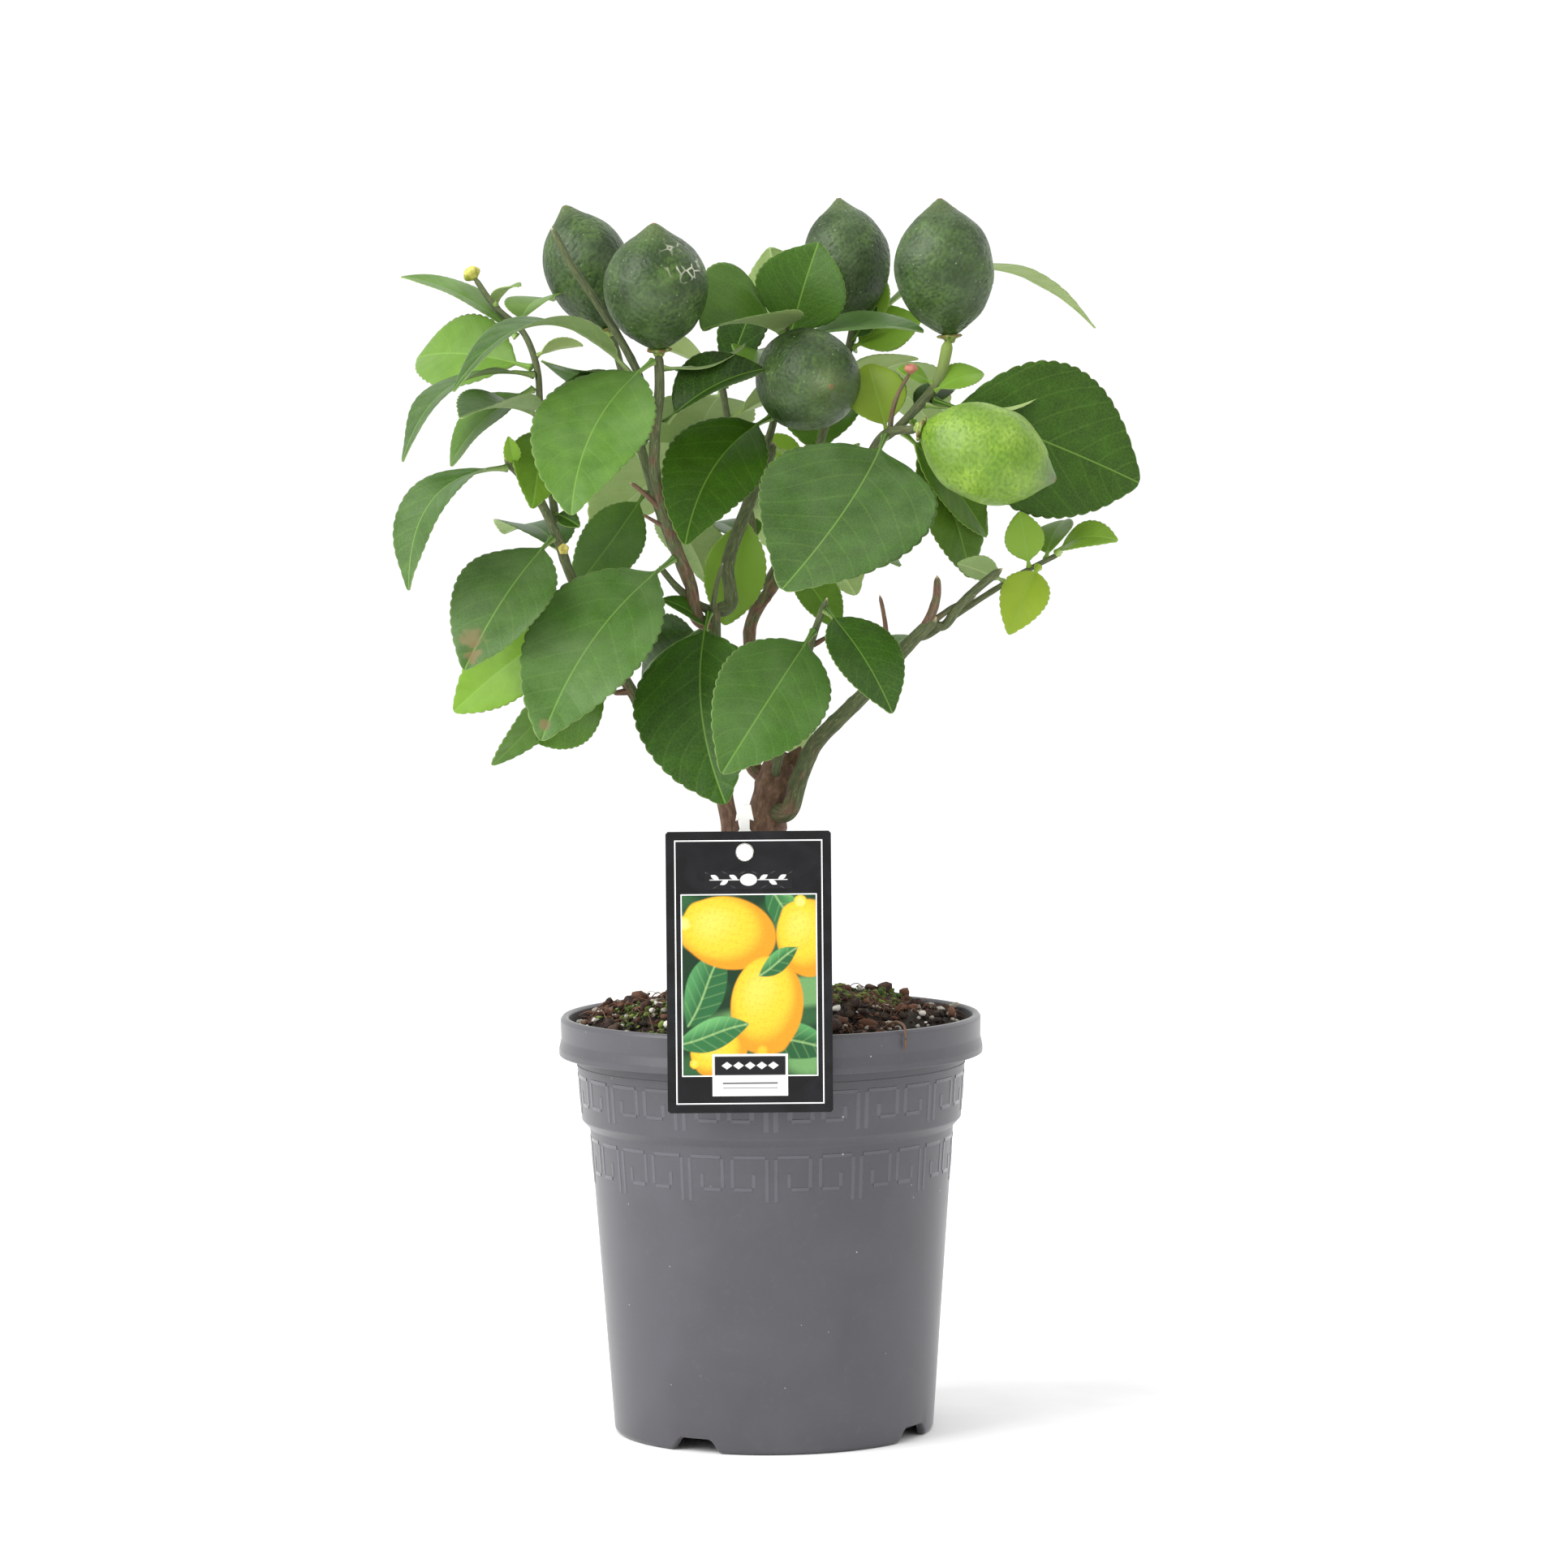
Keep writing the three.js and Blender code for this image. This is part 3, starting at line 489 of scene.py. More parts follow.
# %% [markdown]
# ## Leaves
#
# A lemon leaf is a thin waxy blade on a short round stalk. It is folded along a pale midrib, it bulges
# a little between the side veins, and its edge has shallow rounded teeth. The upper side is deep
# green with a soft sheen, and the lower side is paler and matt. A blade is one closed surface here,
# worked out from the frame's rings, so that the teeth, the veins and the fold are real shape.


# %% Leaf finishes
def leaf_finish(name, darkest, middle, lightest, vein, roughness):
    """A grown citrus leaf surface, waxy above or matt below. Its attributes are `blade` (mm along, mm
    across, vein count), `edge` (mm from the edge, damage, bloom) and `shade` (lightness, yellowness).
    Lightness and yellowness are partly the leaf's own tone and partly painted light and shade, and the
    bloom is partly wax and dust and partly a painted sheen."""
    material, tree, place = new_material(name)
    blade, edge, shade = (add(tree, "Attribute", attribute_name=key).outputs["Vector"]
                          for key in ("blade", "edge", "shade"))
    across, edge, shade = (add(tree, "SeparateXYZ", {0: value}).outputs for value in (blade, edge, shade))
    mottle = add(tree, "TexNoise", {"Vector": place, "Scale": per_mm(7), "Detail": 4})
    # Painted light and shade: each leaf's lightness is partly its own tone and partly how lit it is.
    lightness = add(tree, "Math", {0: mottle, 1: 0.35, 2: shade[0]}, operation="MULTIPLY_ADD")
    green = add(tree, "ValToRGB", {"Fac": lightness}, stops=((0.12, darkest), (1.0, lightest), (0.5, middle)))
    # Painted light too: leaves that let the light through are given more yellowness.
    ripe = add(tree, "Mix", {0: shade[1], 6: green, 7: "#9aa82f"}, data_type="RGBA")
    # There is a side vein at every whole number of the vein count, and a midrib 0.8 mm wide.
    to_vein = add(tree, "Math", {0: across[2], 1: 0.5}, operation="PINGPONG")
    side_vein = add(tree, "MapRange", {"Value": to_vein, 1: 0.015, 2: 0.07, 3: 1, 4: 0})
    off_middle = add(tree, "Math", {0: across[1]}, operation="ABSOLUTE")
    midrib = add(tree, "MapRange", {"Value": off_middle, 1: 0.1, 2: 0.42, 3: 0.55, 4: 0})
    # The fine net between the veins has meshes of about 1.3 mm.
    net = add(tree, "TexVoronoi", {"Vector": blade, "Scale": 1 / 1.3}, feature="DISTANCE_TO_EDGE")
    thread = add(tree, "MapRange", {"Value": net, 1: 0.0, 2: 0.12, 3: 0.1, 4: 0})
    faint = add(tree, "Math", {0: side_vein, 1: 0.09, 2: thread}, operation="MULTIPLY_ADD")
    lines = add(tree, "Math", {0: faint, 1: midrib}, operation="MAXIMUM")
    veined = add(tree, "Mix", {0: lines, 6: ripe, 7: vein}, data_type="RGBA")
    # A pale rim 0.4 mm wide, then damage, then the bluish bloom of dust and wax, which also serves as
    # a painted sheen on leaves that catch the light.
    rimmed = coat(tree, veined, "#a9bd72", edge[0], 0.1, 0.4, 0.4, 0)
    spotted = add(tree, "Mix", {0: edge[1], 6: rimmed, 7: "#6d5a36"}, data_type="RGBA")
    cloud = add(tree, "TexNoise", {"Vector": place, "Scale": per_mm(16), "Detail": 5})
    thin = add(tree, "MapRange", {"Value": cloud, 1: 0.3, 2: 0.8, 3: 0.12, 4: 0.42})
    # Painted sheen: leaves that catch the light are given more bloom.
    bloom = add(tree, "Math", {0: thin, 1: edge[2]}, operation="MULTIPLY")
    bloom_and_painted_sheen = add(tree, "Mix", {0: bloom, 6: spotted, 7: "#8fa878"}, data_type="RGBA")
    grain = add(tree, "TexNoise", {"Vector": place, "Scale": per_mm(0.6), "Detail": 2})
    height = add(tree, "Math", {0: thread, 1: -2.0, 2: grain}, operation="MULTIPLY_ADD")
    return finish(material, bloom_and_painted_sheen, height, 0.25, 0.08, {"Roughness": roughness, "Specular IOR Level": 0.16})


leaf_skins = [leaf_finish("waxy_leaf_upper_grown", "#1a3207", "#35600d", "#6d9c2e", "#7fa845", 0.38),
              leaf_finish("matt_leaf_under_grown", "#5f7640", "#8aa263", "#b0c484", "#bccd90", 0.6)]
print([m.name for m in leaf_skins])


# %% A leaf as a surface
blade_half = 0.24  # mm, half the blade's thickness


def leaf_surface(keys, middle, up, half, lift, rows, columns, seed, vein_gap, tooth, stalk, foot):
    """A closed leaf, with its `blade` values, its mm from the edge and its lower faces. At a distance s
    along the midrib and a share c of the half width, a point is
        midrib(s) + out * half(s) * c + up * (lift(s) * |c| + bulge * |sin(pi * vein count)| +- thickness)
    where the vein count falls with |c|, so that side veins run forward, and half(s) has rounded teeth."""
    length = keys[-1]
    s = length * (1 - (1 - np.linspace(0, 1, rows + 1)[:-1]) ** 1.06)
    share = (s / length)[:, None]
    line = spline(keys, middle, s)
    # The squared width gives a round tip, the plain width a pointed one.
    width = np.maximum(spline(keys, half, s), 0)
    round_width = np.sqrt(np.maximum(spline(keys, half ** 2, s), 0))
    width = (width + (round_width - width) * 0.7 * fade(0.5, 0.95, s / length))[:, None]
    rise = spline(keys, lift, s)[:, None]
    # The blade turns a little about its midrib towards the tip.
    ahead = unit(np.gradient(line, axis=0))
    flat = square_to(spline(keys, up, s), ahead)
    aside = np.cross(ahead, flat)
    twist = np.random.default_rng(seed).uniform(-0.09, 0.09) * share ** 2
    normal = flat * np.cos(twist) + aside * np.sin(twist)
    out = aside * np.cos(twist) - flat * np.sin(twist)
    # The round stalk goes over into the flat blade after the stalk's last key.
    blade = fade(keys[1], keys[1] + 0.07 * length, s)[:, None]
    stem_radius = stalk * (1 + 0.5 * np.exp(-s / 1.2) - 0.25 * fade(0, keys[1], s))[:, None]
    width = np.maximum(width, stem_radius * (1 - blade))
    # Once round the section: c runs from 1 to -1 below and back above, closer together at the midrib.
    u = np.linspace(1, -1, columns, endpoint=False)
    c = u - 0.55 * np.sin(2 * math.pi * u) / (2 * math.pi)
    c = np.concatenate([c, -c])[None]
    side = np.repeat([-1.0, 1.0], columns)[None]
    a = np.abs(c)
    uneven = 0.28 * np.sin(share * 11 + seed) + 0.2 * np.sin(share * 5 + 2 * seed) * a
    from_blade = (s - keys[1])[:, None] - width * a * (0.62 + 0.4 * a)
    count = from_blade / vein_gap + 1 + uneven * np.where(c > 0, 1, 0.6)
    taper = fade(0, 0.12, share) * (1 - fade(0.93, 1.0, share))
    teeth = np.abs(np.sin(math.pi * (s / tooth)))[:, None] ** 0.6 - 0.65
    reach = width * c + np.sign(c) * teeth * 0.24 * tooth * a ** 14 * blade * taper
    wave = np.sin(share * 9 + seed + 2.2 * (c > 0)) * 0.032 * width * a * a * taper
    bulge = 0.026 * vein_gap * (np.abs(np.sin(math.pi * count)) ** 0.75 - 0.4)
    bulge = bulge * fade(0.02, 0.3, a) * (1 - fade(0.75, 1.0, a)) * blade * taper
    # The midrib is pressed in by 0.22 mm above and stands out by 0.62 mm below.
    rib = np.exp(-(reach / 0.75) ** 2) * blade * (1 - 0.6 * share)
    thick = blade * blade_half * np.sqrt(1 - a ** 8) + (1 - blade) * stem_radius * np.sqrt(1 - a * a)
    soft = np.sqrt(a * a + 0.0025) - 0.05
    height = (rise * soft + wave + bulge) * blade + side * thick - np.where(side < 0, 0.62, 0.22) * rib
    skin = line[:, None] + out[:, None] * reach[..., None] + normal[:, None] * height[..., None]
    skin = skin + normal[:, None] * (waves(skin, 16, seed + 3) * 0.5 * blade * a)[..., None]
    points, faces = closed_loft(foot, skin, middle[-1])
    values = np.stack(np.broadcast_arrays(s[:, None], reach, count, width * (1 - a)), -1).reshape(-1, 4)
    values = np.concatenate([values[:1], values, values[-1:]])
    under = np.tile(np.arange(2 * columns) < columns, rows + 1)
    return (points, faces), values[:, :3], values[:, 3], under


def make_leaf(name, parts, looks, stands_for=()):
    """One piece from a list of leaf surfaces. Each look is (lightness, yellowness, bloom, *damage), and
    each damage is a spot (mm along, mm across, radius). Lightness and yellowness also hold painted
    light and shade, and bloom also holds a painted sheen."""
    edges, shades = [], []
    for ((points, _), blade, to_edge, _), (light, yellow, bloom, *spots) in zip(parts, looks):
        hurt = np.zeros(len(points))
        for along, across, size in spots:
            gap = np.hypot(blade[:, 0] - along, blade[:, 1] - across) / size + 0.3 * waves(points, 2, 5)
            hurt = np.maximum(hurt, 1 - fade(0.6, 1.1, gap))
        edges.append(np.stack([to_edge, hurt, np.full(len(points), bloom)], -1))
        shades.append(np.tile([light, yellow, 0.0], (len(points), 1)))
    points, faces = joined([part[0] for part in parts])
    attributes = {"blade": np.concatenate([part[1] for part in parts]), "edge": np.concatenate(edges),
                  "shade": np.concatenate(shades)}
    return make_piece(name, points, faces, leaf_skins, "leaf", stands_for, attributes=attributes,
                      second=np.concatenate([part[3] for part in parts]))


print("blade", 2 * blade_half, "mm thick")


# %% The frame's leaves
cad_leaf_half = 0.4  # mm, half the thickness of the frame's leaves


def leaf_stations(node):
    """A CAD leaf's midrib, up direction, half width and edge lift at each of its rings."""
    rings = cad_rings(node)
    flatness = [np.linalg.svd(r - r.mean(0), compute_uv=False) for r in (rings[2], rings[-3])]
    if flatness[0][1] / flatness[0][0] < flatness[1][1] / flatness[1][0]:
        rings = rings[::-1]
    middle, up, half, lift = [], [], [], []
    for ring in rings[3:-1]:
        # The two points farthest apart are the edges, and the two nearest the middle are on the fold.
        gaps = np.linalg.norm(ring[:, None] - ring[None], axis=-1)
        a, b = np.unravel_index(gaps.argmax(), gaps.shape)
        across = unit(ring[a] - ring[b])
        edge_middle = (ring[a] + ring[b]) / 2
        others = np.delete(ring, [a, b], 0)
        two = others[np.abs((others - edge_middle) @ across).argsort()[:2]]
        top, low = two if (two[0] - two[1]) @ (edge_middle - two.mean(0)) > 0 else two[::-1]
        up.append(unit(top - low))
        middle.append(top - up[-1] * cad_leaf_half)
        half.append(gaps.max() / 2)
        lift.append((edge_middle - middle[-1]) @ up[-1])
    middle = np.array([rings[1].mean(0), rings[2].mean(0), *middle, rings[-1][0]])
    up = np.array([up[0]] * 2 + up + [up[-1]])
    half, lift = np.array([0, 0, *half, 0]), np.array([0, 0, *lift, 0])
    return lengths_along(middle), middle, up, half, lift


stalk_radius = 1.05
row_step, leaf_columns = 0.5, 24  # mm between the rows of points along a leaf, and points across it
usual_look = (0.35, 0.05, 0.3)
# Looks that differ from the usual: lightness, yellowness, bloom, then spots of damage. Lightness and
# yellowness are partly painted light and shade, lighter and yellower on leaves that catch or let
# through the light, and bloom is partly a painted sheen.
leaf_looks = {
    "left_narrow": (0.45, 0.05, 0.7), "left_back": (0.55, 0.1, 0.6), "left_arched": (0.12, 0.0, 0.5),
    "left_drooping": (0.4, 0.05, 0.6), "left_folded": (0.1, 0.0, 0.5), "left_long": (0.15, 0.0, 0.35),
    "left_hanging": (0.15, 0.0, 0.6), "left_inner": (0.5, 0.12, 0.1), "left_under": (0.28, 0.05, 0.2),
    "left_low": (0.16, 0.0, 0.7, (50, 2, 4.2), (55, -1, 3)), "left_front": (0.26, 0.0, 0.85, (84, 1, 2.2)),
    "left_shaded": (0.4, 0.0, 0.8), "left_dark": (0.0, 0.0, 0.1), "middle_upper_left": (0.42, 0.02, 0.7),
    "middle_small": (0.22, 0.02, 0.0), "middle_dark": (0.0, 0.0, 0.1), "middle_folded": (0.3, 0.05, 0.2),
    "middle_upright": (0.2, 0.02, 0.15), "middle_side": (0.25, 0.0, 0.8), "low_long": (0.15, 0.0, 0.1),
    "low_front": (0.26, 0.0, 0.6), "low_right": (0.12, 0.0, 0.2), "centre_front": (0.12, 0.0, 0.55),
    "right_behind": (0.3, 0.1, 0.15), "right_large": (0.12, 0.02, 0.1), "right_long": (0.7, 0.05, 0.5),
    "right_twig_end": (0.55, 0.2, 0.2), "right_twig_low": (0.8, 0.6, 0.0),
}
leaf_nodes = sorted(n for n in frame["nodes"] if n.startswith("leaf_"))
for index, name in enumerate(leaf_nodes):
    keys, middle, *shape = leaf_stations(name)
    _, stem, share = nearest_stem(middle[0], known)
    centre, _, girth = on_stem(stem, share)
    foot = middle[0] + unit(centre - middle[0]) * min(girth, 1.6)
    length = keys[-1]
    surface = leaf_surface(keys, middle, *shape, int(length / row_step) + 20, leaf_columns, 100 + index,
                           max(4.2, length / 9), max(2.2, length * 0.05), stalk_radius, foot)
    make_leaf(name + "_blade", [surface], [leaf_looks.get(name.removeprefix("leaf_"), usual_look)], [name])
print(len(leaf_nodes), "leaves made")

# %% [markdown]
# ## Lemons
#
# An unripe lemon is an egg with a blunt nipple at the far end and a few shallow furrows at the stalk.
# Its rind is pitted all over by oil glands, about 1.6 mm apart, and a thin wax bloom greys the green.
# The frame gives the axis and the outline. The pits are real dents, because the softbox picks out
# each one. The material darkens them towards their bottoms as painted shade and adds only the finest
# grain.


# %% Lemon rind
def rind(name, deep, middle, light, bloom, end_tint, roughness):
    """A grown citrus rind, glossy under a thin wax bloom. `fruit` holds (share of the length, how far
    towards a pit's bottom, scratches); the second darkens the pits as painted shade."""
    material, tree, place = new_material(name)
    fruit = add(tree, "Attribute", attribute_name="fruit").outputs["Vector"]
    fruit = add(tree, "SeparateXYZ", {0: fruit}).outputs
    cloud = add(tree, "TexNoise", {"Vector": place, "Scale": per_mm(11), "Detail": 5})
    fine = add(tree, "TexNoise", {"Vector": place, "Scale": per_mm(1.4), "Detail": 3})
    tone = add(tree, "Math", {0: fine, 1: 0.5, 2: cloud}, operation="MULTIPLY_ADD")
    green = add(tree, "ValToRGB", {"Fac": tone}, stops=((0.48, deep), (1.0, light), (0.75, middle)))
    # Painted shade: the rind turns to its deepest green towards each pit's bottom.
    pit_painted_shade = add(tree, "Mix", {0: fruit[1], 6: green, 7: deep}, data_type="RGBA")
    wax = add(tree, "TexNoise", {"Vector": place, "Scale": per_mm(17), "Detail": 7, "Roughness": 0.65})
    dusty = coat(tree, pit_painted_shade, bloom, wax, 0.42, 0.75, 0.0, 0.34)
    ended = coat(tree, dusty, end_tint, fruit[0], 0.86, 0.985, 0, 0.85)
    # Scratches heal as pale corky lines, a net with meshes of about 4 mm, on a part of one fruit.
    net = add(tree, "TexVoronoi", {"Vector": place, "Scale": per_mm(4.2)}, feature="DISTANCE_TO_EDGE")
    line = add(tree, "MapRange", {"Value": net, 1: 0.03, 2: 0.09, 3: 1, 4: 0})
    broken = add(tree, "Math", {0: line, 1: fruit[2]}, operation="MULTIPLY")
    scarred = add(tree, "Mix", {0: broken, 6: ended, 7: "#c3c5ae"}, data_type="RGBA")
    # Pale dots, each over an oil gland that has opened.
    dots = add(tree, "TexVoronoi", {"Vector": place, "Scale": per_mm(3.1)})
    dotted = coat(tree, scarred, "#9fb38c", dots, 0.05, 0.11, 0.5, 0)
    return finish(material, dotted, fine, 0.8, 0.35, {"Roughness": roughness, "Specular IOR Level": 0.4})


green_rind = rind("dark_green_rind_grown", "#1a2c0c", "#2d4616", "#4a6628", "#7a9068", "#56683a", 0.46)
lime_rind = rind("lime_green_rind_grown", "#547a1a", "#6f9426", "#8cae38", "#98ad6a", "#67755c", 0.42)


# %% A lemon as a surface
def lemon_surface(base, tip, keys, radius, rows, sides, seed):
    """A turned body about the line from base to tip, and its `fruit` values. The squared radius follows
    the frame's rings, so both ends are round. Added to it are three soft ribs, stalk furrows, a neck
    before the nipple, broad dents and fine pits 0.2 mm deep."""
    axis = unit(tip - base)
    length = np.linalg.norm(tip - base)
    even = np.linspace(0, 1, rows + 2)[1:-1]
    share = 0.65 * (0.5 - 0.5 * np.cos(np.linspace(0, math.pi, rows + 2)[1:-1])) + 0.35 * even
    at = share * length
    size = np.sqrt(np.maximum(spline(keys, radius ** 2, at), 0.02))
    turn = full_turn(sides)
    ring = ring_about(axis, axis, turn)
    skin = base + axis * at[:, None, None] + ring * size[:, None, None]
    ribs = 0.012 * np.sin(3 * turn + seed) * np.sin(math.pi * share)[:, None]
    furrows = 0.05 * np.cos(8 * turn + seed) * (1 - fade(0.02, 0.2, share))[:, None]
    neck = -0.05 * np.exp(-((share - 0.9) / 0.025) ** 2)[:, None]
    dents = waves(skin, 7, seed) * 0.22
    pit = fade(0.05, 0.75, -waves(skin, 0.85, seed + 1, 20)) * fade(0.0, 0.05, share)[:, None]
    lift = size[:, None] * (ribs + furrows + neck) + dents - 0.2 * pit
    points, faces = closed_loft(base + axis * 0.25, skin + ring * lift[..., None], tip)
    # The second value, how far into a pit, is used by the rind for painted shade in the pits.
    fruit = np.stack([share[:, None] + 0 * turn, pit * 0.55, 0 * pit], -1).reshape(-1, 3)
    return points, faces, np.concatenate([fruit[:1], fruit, fruit[-1:]])


# %% Lemons of the frame
lemon_rows, lemon_sides = 150, 200
fruits = {}
for index, name in enumerate(sorted(n for n in frame["nodes"] if n.startswith("lemon_"))):
    rings = cad_rings(name)
    if nearest_stem(rings[-1][0], known)[0] < nearest_stem(rings[0][0], known)[0]:
        rings = rings[::-1]
    base, tip = rings[0][0], rings[-1][0]
    axis = unit(tip - base)
    keys = np.array([(ring.mean(0) - base) @ axis for ring in rings])
    radius = np.array([np.linalg.norm(ring - ring.mean(0), axis=1).mean() for ring in rings])
    keys[0], keys[-1] = 0, np.linalg.norm(tip - base)
    points, faces, fruit = lemon_surface(base, tip, keys, radius, lemon_rows, lemon_sides, 200 + 7 * index)
    if name == "lemon_left_front":  # the one with healed scratches, within 11 mm of a place on its shoulder
        patch = base + axis * keys[-1] * 0.6 + radius.max() * unit(np.array([0.62, -0.72, 0.3]))
        near = 1 - fade(5, 11, np.linalg.norm(points - patch, axis=1))
        fruit[:, 2] = near * fade(-0.35, 0.3, waves(points, 3, 77))
    skin, slot = (lime_rind, "lime_green_peel") if name == "lemon_right_front" else (green_rind, "green_peel")
    fruits[name] = {"base": base, "axis": axis, "length": keys[-1]}
    make_piece(name + "_rind", points, faces, [skin], slot, [name], attributes={"fruit": fruit})
print({name: round(float(fruits[name]["length"])) for name in fruits})

# %% [markdown]
# ## Calyxes and stylar scars
#
# Where a stalk meets its fruit it widens into a small five-lobed green disc, and the far end of the
# fruit keeps a dry brown dot where the flower's style broke off. Both are turned bodies on the axis.


# %% Grown skins with a dry part
def dry_skin(name, size, stops, dry_tint, depth, roughness):
    """A matt plant skin, clouded at a size in mm, that turns to another tint where `dry` is 1."""
    material, tree, place = new_material(name)
    cloud = add(tree, "TexNoise", {"Vector": place, "Scale": per_mm(size), "Detail": 4})
    tint = add(tree, "ValToRGB", {"Fac": cloud}, stops=stops)
    dry = add(tree, "Attribute", attribute_name="dry").outputs["Fac"]
    dried = add(tree, "Mix", {0: dry, 6: tint, 7: dry_tint}, data_type="RGBA")
    return finish(material, dried, cloud, 0.5, depth, {"Roughness": roughness})


calyx_skin = dry_skin("calyx_grown", 1.6, ((0.35, "#4d5a2a"), (0.7, "#b3bf6c"), (0.52, "#869a48")), "#7a5f36",
                      0.3, 0.65)
bud_skin = dry_skin("flower_bud_grown", 1.2, ((0.3, "#a7ab3e"), (0.7, "#e3d873")), "#b0705a", 0.25, 0.55)
print(calyx_skin.name, bud_skin.name)


# %% A turned body with lobes
def turned_surface(profile, base, axis, sides, lobes=1, depth=0.0):
    """Radius and height pairs turned about an axis, whose rim swells by depth in each of the lobes.
    Gives points, faces and how far out each ring point is, as a share of the rim."""
    radius, height = np.array(profile, float).T
    turn = full_turn(sides)
    out = radius[1:-1, None] * (1 + depth * np.cos(lobes * turn) * (radius[1:-1, None] / radius.max()) ** 2)
    skin = base + axis * height[1:-1, None, None] + ring_about(axis, axis, turn) * out[..., None]
    return *closed_loft(base + axis * height[0], skin, base + axis * height[-1]), out.ravel() / radius.max()


# Radius and height above the fruit's end, in mm, from the outer side over the rim.
calyx_profile = [(0, -2.6), (1.5, -2.5), (1.9, -1.9), (2.0, -1.3), (2.6, -0.9), (3.6, -0.6), (4.1, -0.2),
                 (4.1, 0.15), (3.7, 0.5), (2.6, 0.6), (1.2, 0.6), (0, 0.6)]
scar_profile = [(0, -0.8), (0.7, -0.8), (1.0, -0.3), (0.95, 0.15), (0.6, 0.3), (0, 0.15)]
for name, fruit in fruits.items():
    base, axis = fruit["base"], fruit["axis"]
    points, faces, out = turned_surface(calyx_profile, base - axis * 0.1, axis, 40, 5, 0.16)
    make_piece(name.replace("lemon", "calyx"), points, faces, [calyx_skin], "green_bark",
               attributes={"dry": np.concatenate([[0], fade(0.9, 1.1, out), [0]])})
    tip = base + axis * fruit["length"] - axis * 0.25
    points, faces, _ = turned_surface(scar_profile, tip, axis, 24, 7, 0.1)
    make_piece(name.replace("lemon", "style_scar"), points, faces, [calyx_skin], "brown_bark",
               attributes={"dry": np.ones(len(points))})
print(len(fruits), "calyxes and scars")

# %% [markdown]
# ## The nursery pot
#
# The pot is injection-moulded from recycled polypropylene: dark grey, matt, with tiny pale flecks. It
# is one turned wall with a collar, a stacking step and a foot ring that four notches let drain. A
# turned surface follows the frame's own outline, with its corners rounded. Two bands of a square
# meander stand 0.17 mm proud of the wall and are polished, so they only show where light grazes them.
# Their plastic is also tinted a little lighter, as a painted sheen.

# %% Moulded polypropylene, recycled: dull sheen, faint flow clouds and pale flecks
moulded_polypropylene, tree, place = new_material("recycled_polypropylene_moulded")
flow = add(tree, "TexNoise", {"Vector": place, "Scale": per_mm(28), "Detail": 5, "Distortion": 0.6})
tint = add(tree, "ValToRGB", {"Fac": flow}, stops=((0.25, "#454449"), (0.75, "#4e4d53")))
flecks = add(tree, "TexVoronoi", {"Vector": place, "Scale": per_mm(5)})
rare = add(tree, "SeparateXYZ", {0: flecks.outputs["Color"]})
size = add(tree, "MapRange", {"Value": rare, 1: 0.55, 2: 1.0, 3: 0.0, 4: 0.07})
inside = add(tree, "Math", {0: flecks, 1: size}, operation="LESS_THAN")
flecked = add(tree, "Mix", {0: inside, 6: tint, 7: "#a9a8a8"}, data_type="RGBA")
dust = add(tree, "TexNoise", {"Vector": place, "Scale": per_mm(3), "Detail": 8, "Roughness": 0.75})
dirty = coat(tree, flecked, "#7d7a76", dust, 0.55, 0.8, 0, 0.14)
# The mould's spark-eroded skin has a grain of about 0.35 mm.
grain = add(tree, "TexNoise", {"Vector": place, "Scale": per_mm(0.35), "Detail": 2})
sheen = add(tree, "MapRange", {"Value": flow, 1: 0.3, 2: 0.7, 3: 0.36, 4: 0.43})
finish(moulded_polypropylene, dirty, grain, 0.3, 0.05,
       {"Roughness": sheen, "IOR": 1.52, "Sheen Weight": 0.3, "Sheen Roughness": 0.3})

# The meander's lines were polished in the mould, so the same plastic comes out smoother there, and
# its tint is made lighter there as a painted sheen.
polished_sheen_polypropylene = moulded_polypropylene.copy()
polished_sheen_polypropylene.name = "recycled_polypropylene_polished_painted_sheen"
polished = polished_sheen_polypropylene.node_tree.nodes
fill(polished[sheen.name], {3: 0.2, 4: 0.26})
# Painted sheen: a lighter tint on the polished bands.
for stop, color in zip(polished[tint.name].color_ramp.elements, ("#4f4e54", "#59585f")):
    stop.color = srgb(color)
print(moulded_polypropylene.name, polished_sheen_polypropylene.name)

# %% The pot's outline from the frame
pot_points, _ = cad_mesh("pot")
pot_radius = np.hypot(pot_points[:, 0], pot_points[:, 1])
drain_reach = 45  # the drain holes lie inside this radius
shell = pot_radius > drain_reach
foot_height = 5.0
notch_height = 4.7
outer_heights = (0.0, 0.36, 1.2, 109.0, 112.1, 136.0)
collar_heights = (135.2, 137.5, 141.0, 147.8, 149.0)
inner_heights = (149.0, 148.2, 139.0, 133.0, 112.1, 109.0, 9.5, 6.5)


def cad_radius(height, pick):
    """The largest or smallest radius of the frame's pot among its points at a height."""
    return float(pick(pot_radius[shell & (np.abs(pot_points[:, 2] - height) < 0.06)]))


foot_inner = cad_radius(0.0, np.min)
outline = [(0.5, foot_height), (foot_inner, foot_height), (foot_inner, 0.0)]
outline += [(cad_radius(z, np.max), z) for z in outer_heights + collar_heights]
outline += [(cad_radius(z, np.min), z) for z in inner_heights]
outline += [(0.5, inner_heights[-1])]
print("outline:", [(round(r, 1), round(z, 1)) for r, z in outline])


